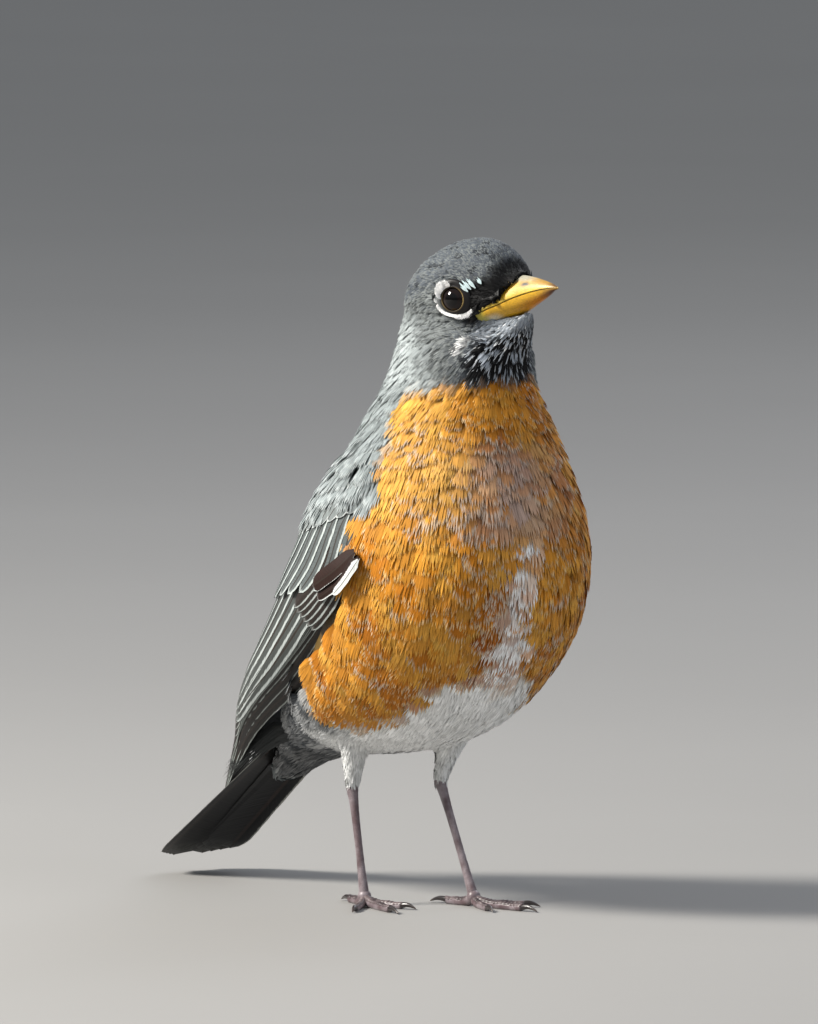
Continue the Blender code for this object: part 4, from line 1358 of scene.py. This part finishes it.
def bill_half(upper, rows=72, around=31, inside=9):
    """One half of the bill as a closed mesh, painted with its colours. inside is how many
    points run across its inner face."""
    at = np.linspace(0, 7, rows)[:, None]
    ahead, top, line, bottom, half_width = np.moveaxis(through_rows(BILL_ROWS, at), -1, 0)
    turn = np.linspace(-90, 90, around)[None]
    edge, ridge = (line + GAP, top) if upper else (line - GAP, bottom)
    flat = 1.22 if upper else 1.05
    sine, cosine = np.sin(np.radians(turn)), np.abs(np.cos(np.radians(turn)))
    wide = half_width * np.sign(sine) * np.abs(sine) ** flat * (1.0 if upper else 0.97)
    high = edge + (ridge - edge) * cosine ** flat
    # A dark spot at each nostril: painted shade where the opening lies.
    away = ((ahead - NOSTRIL_AHEAD) / 1.3) ** 2 + ((np.abs(turn) - NOSTRIL_TURN) / 6.5) ** 2
    nostril_painted_shade = np.clip(1.6 * np.exp(-away), 0, 1) * upper
    inner = np.linspace(0.97, -0.97, inside)[None] * half_width
    arch = edge + (0.25 if upper else 0.1) * (1 - (inner / half_width) ** 2)
    ring = np.stack([
        np.concatenate([wide, inner], 1),
        np.broadcast_to(ahead, (rows, around + inside)),
        np.concatenate([high, arch], 1),
    ], -1)
    height = np.concatenate([(high - edge) / (ridge - edge), np.zeros((rows, inside))], 1)
    front = ring[..., 1]
    paint = np.tile(horn["yellow"], (rows, around + inside, 1))
    if upper:
        paint = tint_with(paint, "pale yellow", ramp(0.35 - height, 0, 0.35))
        # Pale grey along the ridge: the culmen's dusky horn, made paler as a painted highlight.
        paint = tint_with(paint, "dusky", ramp(height, 0.55, 0.88) * ramp(34 - front, 0, 8))
        paint = tint_with(paint, "brown", ramp(height, 0.30, 0.60) * ramp(front, 27, 33) * 0.6)
        paint = tint_with(paint, "tip", ramp(front, 33.5, 36.5) * (0.35 + 0.45 * height))
        paint = tint_with(paint, "dark", np.concatenate([nostril_painted_shade, np.zeros((rows, inside))], 1))
    else:
        paint = tint_with(paint, "orange", 0.7 * ramp(height, 0.20, 0.95) * ramp(front, 18, 30))
        paint = tint_with(paint, "bone", ramp(height, 0.25, 0.7) * ramp(18.5 - front, 0, 3))
        paint = tint_with(paint, "tip", ramp(front, 30.0, 35.5) * (0.5 + 0.5 * height))
    paint = tint_with(paint, "green", ramp(15.6 - front, 0, 2.6) * 0.8)
    ends = [ring[0].mean(axis=0), ring[-1].mean(axis=0) + (0, 0.25, 0)]
    points = from_head(np.concatenate([ring.reshape(-1, 3), ends]))
    mesh = triangle_mesh(points, facing_out(points, ring_faces(*ring.shape[:2])))
    paint_points(mesh, "tint", np.concatenate([paint.reshape(-1, 3), paint[0, :1], paint[-1, :1]]))
    return mesh


# Bill horn: a smooth keratin sheath with a waxy shine and fine growth lines along it. IOR 1.54,
# roughness about 0.45; the lines are 0.3 mm apart, the blotches 2 mm wide.
def horn_material(name, roughness, coat, line_scale, contrast, depth):
    made, tree, shader = new_material(name)
    tint = add_node(tree, "ShaderNodeAttribute", {"attribute_name": "tint"})
    place = add_node(tree, "ShaderNodeTexCoord")
    stretch = add_node(tree, "ShaderNodeVectorMath", {"operation": "MULTIPLY"},
                       in_0=place.outputs["Object"], in_1=(1.0, 0.25, 1.0))
    lines = add_node(tree, "ShaderNodeTexNoise", Vector=stretch, Scale=line_scale, Detail=3.0)
    blotches = add_node(tree, "ShaderNodeTexNoise", Vector=place.outputs["Object"], Scale=500.0, Detail=2.0)
    both = add_node(tree, "ShaderNodeMath", {"operation": "MULTIPLY_ADD"},
                    in_0=blotches, in_1=0.6, in_2=lines)
    shade = add_node(tree, "ShaderNodeMapRange", Value=both,
                     From_Min=0.55, From_Max=1.05, To_Min=1 - contrast, To_Max=1 + contrast)
    varied = add_node(tree, "ShaderNodeVectorMath", {"operation": "SCALE"},
                      in_0=tint, Scale=shade)
    relief = add_node(tree, "ShaderNodeBump", Height=lines, Strength=0.4, Distance=depth * MM)
    finish(shader, varied.outputs[0], relief, Roughness=roughness, IOR=1.54, Coat_Weight=coat,
           Coat_Roughness=0.2)
    return made


bill_horn = horn_material("bill_horn", roughness=0.45, coat=0.10, line_scale=3000.0, contrast=0.22,
                          depth=0.1)
for half, upper in (("upper", True), ("lower", False)):
    hang_on(f"bill_{half}_horn", bill_half(upper), bill_horn, "bill_horn", f"bill_{half}")


# ---------------------------------------------------------------------------------------------
# The eyes: a moist dark brown globe with a black pupil, set in a ring of bare lids. Crescents of
# tiny white feathers grow over and under the lids, and a few white strokes before each eye.
# ---------------------------------------------------------------------------------------------
EYE_LOOKS = unit(np.array((0.89, 0.45, -0.05)))  # the way the left eye faces, in the head's frame


def eye_axes(sign):
    """World axes at an eye: forwards, upwards and outwards over it."""
    outwards = head_axes @ (EYE_LOOKS * (sign, -1, 1))
    upwards = head_axes @ np.array((0.0, 0.0, 1.0))
    upwards = unit(upwards - outwards * (upwards * outwards).sum())
    forwards = np.cross(upwards, outwards) * sign
    return forwards * -np.sign(forwards[1]), upwards, outwards


def round_eye(sign, reach, angle, height):
    """World points round an eye, from their reach across and height over its middle."""
    forwards, upwards, outwards = eye_axes(sign)
    middle = eye_middles[0 if sign > 0 else 1]
    flat = forwards * np.cos(angle)[..., None] + upwards * np.sin(angle)[..., None]
    return middle + (flat * reach[..., None] + outwards * height[..., None]) * MM


def face_height(reach, angle):
    """How high the rim of the eye socket stands over the middle of the eye, in millimetres."""
    return 3.5 - (0.30 - 0.33 * np.sin(angle)) * (reach - 3.1)


def lathe(sign, reach, height, around=40):
    """A closed mesh from a profile turned round the axis of an eye; arrays of profile, turn."""
    angle = np.linspace(0, 2 * np.pi, around, endpoint=False)[None]
    reach, height = np.broadcast_arrays(reach, height, angle)[:2]
    points = round_eye(sign, reach, angle + 0 * reach, height).reshape(-1, 3)
    return triangle_mesh(points, facing_out(points, ring_faces(len(reach), around, capped=False)))


# Wet eye: a clear cornea over a dark iris, mirror smooth. IOR 1.38, roughness 0.04; the rays of
# the iris are 0.25 mm apart.
wet_eyeball, tree, shader = new_material("wet_eyeball")
tint = add_node(tree, "ShaderNodeAttribute", {"attribute_name": "tint"})
place = add_node(tree, "ShaderNodeTexCoord")
rays = add_node(tree, "ShaderNodeTexNoise", Vector=place.outputs["Object"], Scale=4000.0, Detail=2.0)
shade = add_node(tree, "ShaderNodeMapRange", Value=rays,
                 From_Min=0.3, From_Max=0.7, To_Min=0.7, To_Max=1.35)
varied = add_node(tree, "ShaderNodeVectorMath", {"operation": "SCALE"},
                  in_0=tint, Scale=shade)
finish(shader, varied.outputs[0], None, Roughness=0.04, IOR=1.38)

# Lid skin: bare, thin and finely wrinkled, nearly black with a pale horn-coloured rim. IOR 1.40,
# roughness about 0.45; wrinkles 0.25 mm apart.
eyelid_skin, tree, shader = new_material("eyelid_skin")
tint = add_node(tree, "ShaderNodeAttribute", {"attribute_name": "tint"})
place = add_node(tree, "ShaderNodeTexCoord")
wrinkles = add_node(tree, "ShaderNodeTexVoronoi", Vector=place.outputs["Object"], Scale=4000.0)
shade = add_node(tree, "ShaderNodeMapRange", Value=wrinkles,
                 From_Min=0.0, From_Max=0.8, To_Min=0.75, To_Max=1.25)
varied = add_node(tree, "ShaderNodeVectorMath", {"operation": "SCALE"},
                  in_0=tint, Scale=shade)
relief = add_node(tree, "ShaderNodeBump", Height=wrinkles, Strength=0.2, Distance=0.0001)
finish(shader, varied.outputs[0], relief, Roughness=0.45, IOR=1.40)

LID_ROUND = 44
# The lids in section, from the inner edge of the lip over the rim and back underneath: how far
# out and how high, in millimetres, and how much of the pale rim shows there.
LID_SECTION = np.array((
    (3.02, -0.30, 0.2), (3.06, -0.02, 0.8), (3.17, 0.10, 1.0), (3.32, 0.09, 0.4), (3.45, -0.02, 0),
    (3.7, -0.05, 0), (4.1, 0.02, 0), (4.6, -0.05, 0), (5.2, -0.25, 0), (5.2, -0.75, 0),
    (4.4, -0.85, 0), (3.6, -0.9, 0), (3.02, -0.6, 0),
))
# The white strokes before the left eye, each from its root to its tip, in the head's frame.
STROKES = (
    ((10.6, 13.4, 0.2), (11.7, 11.6, 3.4)), ((9.5, 15.5, 0.6), (10.6, 13.3, 4.3)),
    ((8.7, 17.2, 1.3), (9.0, 16.3, 3.3)), ((10.1, 14.3, 0.6), (11.2, 12.4, 3.9)),
)
lid_dark, lid_pale = linear("#151314"), linear("#a88f58")
white_feathers = feather_material("white_eye_ring_feathers", fine=5.0, streak=0.12, roughness=0.6,
                                  sheen=0.3, bump=0.2)
eye_draw = np.random.default_rng(41)
for side, sign in SIDES.items():
    # The globe, with the cornea bulging a little in front.
    polar = np.concatenate([(0.5, 4, 9), np.linspace(14, 90, 22), np.linspace(100, 179.5, 10)])
    polar = np.radians(polar)[:, None]
    radius = EYE_RADIUS - 0.12 + 0.25 * np.exp(-((polar / 0.6) ** 2))
    mesh = lathe(sign, radius * np.sin(polar), radius * np.cos(polar))
    degrees = np.degrees(polar)
    past_pupil = ramp(degrees, 21, 24)
    iris = linear("#170d0b") * past_pupil + linear("#060505") * (1 - past_pupil)
    iris = iris + (linear("#0d0b0b") - iris) * ramp(degrees, 40, 47)
    paint_points(mesh, "tint", np.repeat(iris, 40, axis=0))
    hang_on(f"eyeball_{side}", mesh, wet_eyeball, "eye", f"eye_{side}")

    # The lids: a lip that hugs the globe, and a flat rim that sinks under the feathers round it.
    angle = np.linspace(0, 2 * np.pi, LID_ROUND, endpoint=False)[None]
    reach, lift, rim = LID_SECTION.T[..., None]
    reach = reach * (1 - 0.025 * np.cos(2 * angle))
    height = face_height(reach, angle) + lift
    mesh = lathe(sign, reach, height, LID_ROUND)
    fore, hind = np.clip(np.cos(angle + 0.2), 0, 1) ** 2, np.clip(-np.cos(angle), 0, 1) ** 4
    rim = rim * (0.08 + 0.72 * fore + 0.35 * hind)
    skin_tint = lid_dark + (lid_pale - lid_dark) * rim[..., None]
    feathery = ramp(reach, 3.8, 4.2) * ramp(-np.cos(angle), -0.1, 0.3)
    skin_tint = skin_tint + (pigment["cheek"] * 0.8 - skin_tint) * feathery[..., None]
    paint_points(mesh, "tint", skin_tint.reshape(-1, 3))
    hang_on(f"eyelids_{side}", mesh, eyelid_skin, "eye")

    # White feathers: along the upper hind and the lower edge of the lids.
    arcs = []
    for edge in ("upper", "upper", "upper", "lower", "lower"):
        low, high, count = (90, 164, 40) if edge == "upper" else (176, 316, 84)
        middles = np.linspace(low, high, count) + eye_draw.normal(size=count) * 1.5
        if edge == "upper":
            far = np.interp(middles, (90, 104, 130, 154, 166), (4.0, 5.3, 5.7, 5.0, 3.7))
            near = 3.3 + (far - 4.0) * len(arcs) / 3
        else:
            near = np.interp(middles, (176, 205, 232, 255, 278, 295, 316),
                             (4.7, 4.25, 3.9, 4.0, 4.3, 4.8, 5.4))
            far = near + np.interp(middles, (176, 232, 278, 316), (0.4, 0.55, 0.9, 1.2))
        far = near + (far - near) * eye_draw.uniform(0.75, 1.15, count)
        arcs.append((np.radians(middles), near, far))
    theta, near, far = (np.concatenate(part) for part in zip(*arcs))
    tip_theta = theta + 0.22 * np.sign(np.cos(theta)) * np.sign(np.sin(theta))
    ring = []
    for share in (0.0, 0.5, 1.0):
        reach = near + (far + 0.25 - near) * share
        turned = theta + (tip_theta - theta) * share
        brow = 0.7 * ramp(np.sin(turned), 0.1, 0.5)
        lifted = face_height(reach, turned) + 0.08 + brow + 0.25 * share + 0.25 * ramp(reach, 4.6, 5.6)
        ring.append(round_eye(sign, reach, turned, lifted))
    start, end = (
        on_outline(np.array([on_head(sign * left, *rest) for left, *rest in spots]))[0]
        for spots in zip(*STROKES)
    )
    middle, _ = on_outline((start + end) / 2)
    paths = [np.concatenate([a, b]) for a, b in zip(ring, (start, middle, end))]
    outwards = eye_axes(sign)[2]
    up_normals = [on_outline(path)[1] * 0.6 + outwards * 0.4 for path in paths]
    total = len(paths[0])
    widths = np.concatenate([eye_draw.uniform(0.3, 0.45, len(theta)), np.full(len(STROKES), 0.62)]) * MM
    white = np.tile(linear("#fdfdfc"), (total, 1))
    white[len(theta):] = linear("#c9dde0")
    looks = (white, white, np.full(total, 0.9), np.full(total, 0.0))
    mesh = tufts(paths, [unit(n) for n in up_normals], widths, np.full(total, 0.1) * MM, looks,
                 eye_draw, locks=4, ragged=0.25, lift=0.12, taper=2.6)
    hang_on(f"eye_ring_feathers_{side}", mesh, white_feathers, "plumage_crown")


# ---------------------------------------------------------------------------------------------
# The legs: a slim bare tarsus in one smooth booted sheath, a knuckle at each end, and four
# padded toes with a row of overlapping scutes on top. Each foot rests on the ground on its pads.
# ---------------------------------------------------------------------------------------------
ANKLES = {"left": (10.0, -5.0, 33.0), "right": (-13.0, -12.5, 32.0)}
TOE_MEETS = {"left": (12.0, 8.5, 2.6), "right": (-12.0, -8.0, 2.6)}
FOOT_TURNS_OUT = {"left": 14.0, "right": 10.0}
# The radius of the tarsus from the foot (0) to the ankle (1), where it closes.
TARSUS_RADII = (
    (0, 0.17, 0.33, 0.5, 0.67, 0.83, 0.93, 0.97, 0.99, 1),
    (1.35, 1.1, 1.0, 1.0, 1.05, 1.25, 1.6, 1.75, 1.4, 0.4),
)
SCUTE_STEP = 1.15
TOES = {  # length, turn outwards in degrees, radius at the base, length of the claw
    "inner": (12.5, 30.0, 1.15, 4.6), "middle": (17.5, 0.0, 1.25, 5.4),
    "outer": (13.5, -33.0, 1.1, 4.4), "hind": (9.5, 180.0, 1.3, 6.2),
}


def swept(path, radii, around, above=(0.0, 0.0, 1.0)):
    """A closed tube along a path, with a radius for each place and turn; points, triangles."""
    run = unit(np.gradient(path, axis=0))
    aside = unit(np.cross(run, above))
    over = np.cross(aside, run)
    angle = np.linspace(0, 2 * np.pi, around, endpoint=False)[None, :, None]
    out = aside[:, None] * np.cos(angle) + over[:, None] * np.sin(angle)
    ring = path[:, None] + out * radii[..., None]
    points = np.concatenate([ring.reshape(-1, 3), path[:1], path[-1:]])
    return points, facing_out(points, ring_faces(len(path), around))


def joined_mesh(parts):
    points = np.concatenate([part[0] for part in parts])
    firsts = np.cumsum([0] + [len(part[0]) for part in parts[:-1]])
    return triangle_mesh(points, np.concatenate([part[1] + first for part, first in zip(parts, firsts)]))


def keep_above_ground(mesh, gap):
    """Flattens a mesh where it would come nearer the ground than this many millimetres."""
    points = mesh_arrays(mesh)[0]
    points[:, 2] = np.maximum(points[:, 2], ground_point.z + gap * MM)
    mesh.vertices.foreach_set("co", points.ravel())
    return points


def toe_line(side, toe, share):
    """World points along the middle of a toe, and the way it heads."""
    length, turn, radius, _ = TOES[toe]
    sign = SIDES[side]
    angle = math.radians(-sign * turn + sign * FOOT_TURNS_OUT[side])
    heading = np.array((math.sin(angle), -math.cos(angle), 0.0))
    meets = TOE_MEETS[side]
    height = radius * 0.72 + (meets[2] - radius * 0.72) * np.exp(-7 * share)
    flat = np.array(on_body(meets[0], meets[1], 0)) + heading * (length * MM) * share[:, None]
    return flat + np.array((0, 0, MM)) * height[:, None], heading


def toe_radii(toe, share):
    """The radius along a toe, in metres: it swells at its pads and thins towards the claw."""
    radius = TOES[toe][2]
    return radius * MM * (1 - 0.25 * share - 0.06 * np.cos(5 * np.pi * share))


# Leg sheath: smooth, slightly waxy skin of flat scales, pinkish brown to dusky. IOR 1.48,
# roughness about 0.4; the plates are 5 mm long on the tarsus and the grain is 0.3 mm.
def leg_material(name, light, dark):
    made, tree, shader = new_material(name)
    place = add_node(tree, "ShaderNodeTexCoord")
    grain = add_node(tree, "ShaderNodeTexVoronoi", Vector=place.outputs["Object"], Scale=3500.0)
    cloud = add_node(tree, "ShaderNodeTexNoise", Vector=place.outputs["Object"], Scale=260.0, Detail=3.0)
    mix = add_node(tree, "ShaderNodeMapRange", Value=cloud, From_Min=0.35, From_Max=0.65)
    base = add_node(tree, "ShaderNodeMix", {"data_type": "RGBA"}, Factor=mix,
                    in_6=(*linear(dark), 1), in_7=(*linear(light), 1))
    shade = add_node(tree, "ShaderNodeMapRange", Value=grain,
                     From_Min=0.0, From_Max=0.8, To_Min=1.12, To_Max=0.8)
    varied = add_node(tree, "ShaderNodeVectorMath", {"operation": "SCALE"},
                      in_0=base.outputs[2], Scale=shade)
    relief = add_node(tree, "ShaderNodeBump", Height=grain, Strength=0.35, Distance=0.0001)
    relief.invert = True
    finish(shader, varied.outputs[0], relief, Roughness=0.4, IOR=1.48, Coat_Weight=0.15,
           Coat_Roughness=0.25)
    return made


leg_sheath = leg_material("leg_sheath", "#8f8488", "#5f4d50")
scute_horn = leg_material("scute_horn", "#756768", "#44393b")

# One scute: a thin shield, arched across and a little hooked at its free end, that measures 1
# each way until it is sized.
u, v = np.meshgrid(np.linspace(-1, 1, 7), np.linspace(0, 1, 4), indexing="ij")
shield = np.stack([
    0.5 * np.sin(u * 1.15) * (1 - 0.25 * v ** 2), v - 0.5, 0.5 * np.cos(u * 1.15) - 0.5 + 0.10 * v,
], -1)
shield = np.concatenate([shield.reshape(-1, 3), (shield - (0, 0, 0.12)).reshape(-1, 3)])
cells = np.arange(28).reshape(7, 4)
top_faces = halves(cells[:-1, :-1], cells[1:, :-1], cells[1:, 1:], cells[:-1, 1:])
border = list(cells[:, 0]) + list(cells[-1, 1:]) + list(cells[-2::-1, -1]) + list(cells[0, -2:0:-1])
border_faces = [(i, i + 28, j + 28) for i, j in zip(border, border[1:] + border[:1])]
border_faces += [(i, j + 28, j) for i, j in zip(border, border[1:] + border[:1])]
shield_faces = np.concatenate([top_faces, top_faces[:, ::-1] + 28, np.array(border_faces)])
scute = bpy.data.objects.new("scute", triangle_mesh(shield, facing_out(shield, shield_faces)))


def scute_rows():
    """A node tree that sets a scute on every point, turned and sized by the point's values."""
    tree = bpy.data.node_groups.new("scute_rows", "GeometryNodeTree")
    for label, kind in (("Points", "NodeSocketGeometry"), ("Scute", "NodeSocketObject"),
                        ("Size spread", "NodeSocketFloat"), ("Seed", "NodeSocketInt")):
        tree.interface.new_socket(label, in_out="INPUT", socket_type=kind)
    tree.interface.new_socket("Scutes", in_out="OUTPUT", socket_type="NodeSocketGeometry")
    given = add_node(tree, "NodeGroupInput")
    shape = add_node(tree, "GeometryNodeObjectInfo", Object=given.outputs["Scute"])
    facing = add_node(tree, "GeometryNodeInputNamedAttribute", {"data_type": "FLOAT_VECTOR"}, Name="facing")
    size = add_node(tree, "GeometryNodeInputNamedAttribute", {"data_type": "FLOAT_VECTOR"}, Name="size")
    low, high = (
        add_node(tree, "ShaderNodeMath", {"operation": kind}, in_0=1.0, in_1=given.outputs["Size spread"])
        for kind in ("SUBTRACT", "ADD")
    )
    spread = add_node(tree, "FunctionNodeRandomValue", {"data_type": "FLOAT"},
                      Seed=given.outputs["Seed"], in_2=low, in_3=high)
    scaled = add_node(tree, "ShaderNodeVectorMath", {"operation": "SCALE"},
                      in_0=size.outputs["Attribute"], Scale=spread.outputs[1])
    placed = add_node(tree, "GeometryNodeInstanceOnPoints", Points=given.outputs["Points"],
                      Instance=shape.outputs["Geometry"], Rotation=facing.outputs["Attribute"],
                      Scale=scaled.outputs[0])
    real = add_node(tree, "GeometryNodeRealizeInstances", Geometry=placed)
    coloured = add_node(tree, "GeometryNodeSetMaterial", Geometry=real, Material=scute_horn)
    add_node(tree, "NodeGroupOutput", Scutes=coloured)
    return tree


scute_tree = scute_rows()


def scutes_on(places, turns, sizes, seed):
    """Scutes set on these places by the node tree, as a plain mesh."""
    mesh = bpy.data.meshes.new("scute_places")
    mesh.from_pydata(places.tolist(), [], [])
    for label, values in (("facing", turns), ("size", sizes)):
        layer = mesh.attributes.new(label, "FLOAT_VECTOR", "POINT")
        layer.data.foreach_set("vector", values.astype(np.float32).ravel())
    made = put_in_scene("scutes", mesh)
    grown = made.modifiers.new("scutes", "NODES")
    grown.node_group = scute_tree
    values = {"Scute": scute, "Size spread": 0.06, "Seed": seed}
    for item in scute_tree.interface.items_tree:
        if item.in_out == "INPUT" and item.name in values:
            grown[item.identifier] = values[item.name]
    return finished_mesh(made)


for side in SIDES:
    meets, ankle = (np.array(on_body(*table[side])) for table in (TOE_MEETS, ANKLES))
    share = np.linspace(0, 1, 64)
    bottom = meets + unit(ankle - meets) * MM
    path = bottom + (ankle - bottom) * share[:, None] * 1.045
    radii = np.interp(share, *TARSUS_RADII)
    radii = np.convolve(np.pad(radii, 2, "edge"), np.ones(5) / 5, "valid")
    turns = np.linspace(0, 2 * np.pi, 28, endpoint=False)
    plates = np.abs((share * 6.5 + 0.25) % 1 - 0.5)
    seam = 1 - 0.045 * np.exp(-(((0.5 - plates) / 0.045) ** 2))
    front = ramp(-np.sin(turns), -0.2, 0.4)
    deep = 1 + 0.07 * np.abs(np.sin(turns)) ** 3
    shape = radii[:, None] * (1 + (seam[:, None] - 1) * front) * deep
    mesh = joined_mesh([swept(path, shape * MM, around=28, above=(0.0, 1.0, 0.0))])
    hang_on(f"tarsus_{side}_sheath", mesh, leg_sheath, "leg_scale", f"tarsus_{side}")

    parts, places, facings, sizes = [], [], [], []
    ball = np.linspace(0, np.pi, 14)
    ball_path = meets + np.array((0, 0, 1.9 * MM)) * -np.cos(ball)[:, None]
    ball_radii = np.maximum(1.85 * np.sin(ball), 0.02)[:, None] * np.ones((1, 24)) * MM
    parts.append(swept(ball_path, ball_radii, around=24, above=(0.0, 1.0, 0.0)))
    for toe, (length, *_) in TOES.items():
        share = np.linspace(0, 1, 56)
        path = toe_line(side, toe, share)[0]
        turns = np.linspace(0, 2 * np.pi, 20, endpoint=False)
        radii = toe_radii(toe, share)
        under = -np.sin(turns)
        pads = 1 + 0.10 * np.abs(np.cos(2.5 * np.pi * share))[:, None] * ramp(under, 0.1, 0.8)
        wart = 1 + 0.02 * np.sin(share[:, None] * length * 9) * np.sin(turns * 7) * (under > 0)
        shape = radii[:, None] * pads * wart
        shape[-1] *= 0.75
        parts.append(swept(path, shape, around=20))
        count = round(length / SCUTE_STEP)
        at = (np.arange(count) + 0.6) / count
        line = toe_line(side, toe, at)[0]
        run = unit(toe_line(side, toe, at + 0.01)[0] - toe_line(side, toe, at - 0.01)[0])
        over = unit(np.array((0, 0, 1.0)) - run * run[:, 2:])
        width = toe_radii(toe, at)
        places.append(line + over * width[:, None] * 1.03)
        for one_run, one_over in zip(run, over):
            basis = Matrix((np.cross(one_run, one_over), one_run, one_over)).transposed()
            facings.append(tuple(basis.to_euler()))
        sizes.append(np.stack([width * 2.0, np.full(count, length / count * 1.45 * MM), width * 1.7], 1))
    mesh = joined_mesh(parts)
    keep_above_ground(mesh, 0.02)
    hang_on(f"foot_{side}_pads", mesh, leg_sheath, "leg_scale", f"foot_{side}")
    mesh = scutes_on(np.concatenate(places), np.array(facings), np.concatenate(sizes), seed=7)
    mesh.shade_smooth()
    hang_on(f"foot_{side}_scutes", mesh, None, "leg_scale")


# ---------------------------------------------------------------------------------------------
# The claws: curved, tapering hooks of dark horn, grooved underneath, each growing out of the
# last pad of its toe.
# ---------------------------------------------------------------------------------------------
claw_horn = horn_material("claw_horn", roughness=0.32, coat=0.3, line_scale=2500.0, contrast=0.3,
                          depth=0.08)
claw_dark, claw_worn = linear("#2a2322"), linear("#5b4c44")
for side in SIDES:
    for toe, (*_, claw) in TOES.items():
        share = np.linspace(0, 1, 26)
        end, heading = toe_line(side, toe, np.array((1.0,)))
        start = end[0] - heading * 0.3 * MM
        height = (start[2] - ground_point.z) / MM
        rise = 0.55 * np.sin(np.pi * share) - (height - 0.28) * share ** 1.5
        path = start + heading * (claw + 0.5) * MM * share[:, None] + np.array((0, 0, MM)) * rise[:, None]
        turns = np.linspace(0, 2 * np.pi, 16, endpoint=False)
        radii = np.interp(share, (0, 0.15, 0.5, 0.8, 0.95, 1), (0.72, 0.74, 0.55, 0.33, 0.16, 0.05))
        groove = 1 - 0.22 * np.exp(-(((turns - 1.5 * np.pi) / 0.35) ** 2))
        deep = 1 + 0.12 * np.abs(np.sin(turns)) ** 2
        name = f"claw_{side}_{toe}"
        mesh = joined_mesh([swept(path, radii[:, None] * (groove * deep) * MM, around=16)])
        far = np.linalg.norm(keep_above_ground(mesh, 0.03) - start, axis=1, keepdims=True)
        worn = ramp(far / (claw * MM), 0.75, 1.05) * 0.5
        paint_points(mesh, "tint", claw_dark + (claw_worn - claw_dark) * worn)
        hang_on(f"{name}_horn", mesh, claw_horn, "claw_horn", name)


# ---------------------------------------------------------------------------------------------
# The size of the finished bird beside that of the CAD model.
# ---------------------------------------------------------------------------------------------
sizes = {"cad": [list(corner) for corner in cad_box], "visual": [list(corner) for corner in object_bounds()]}
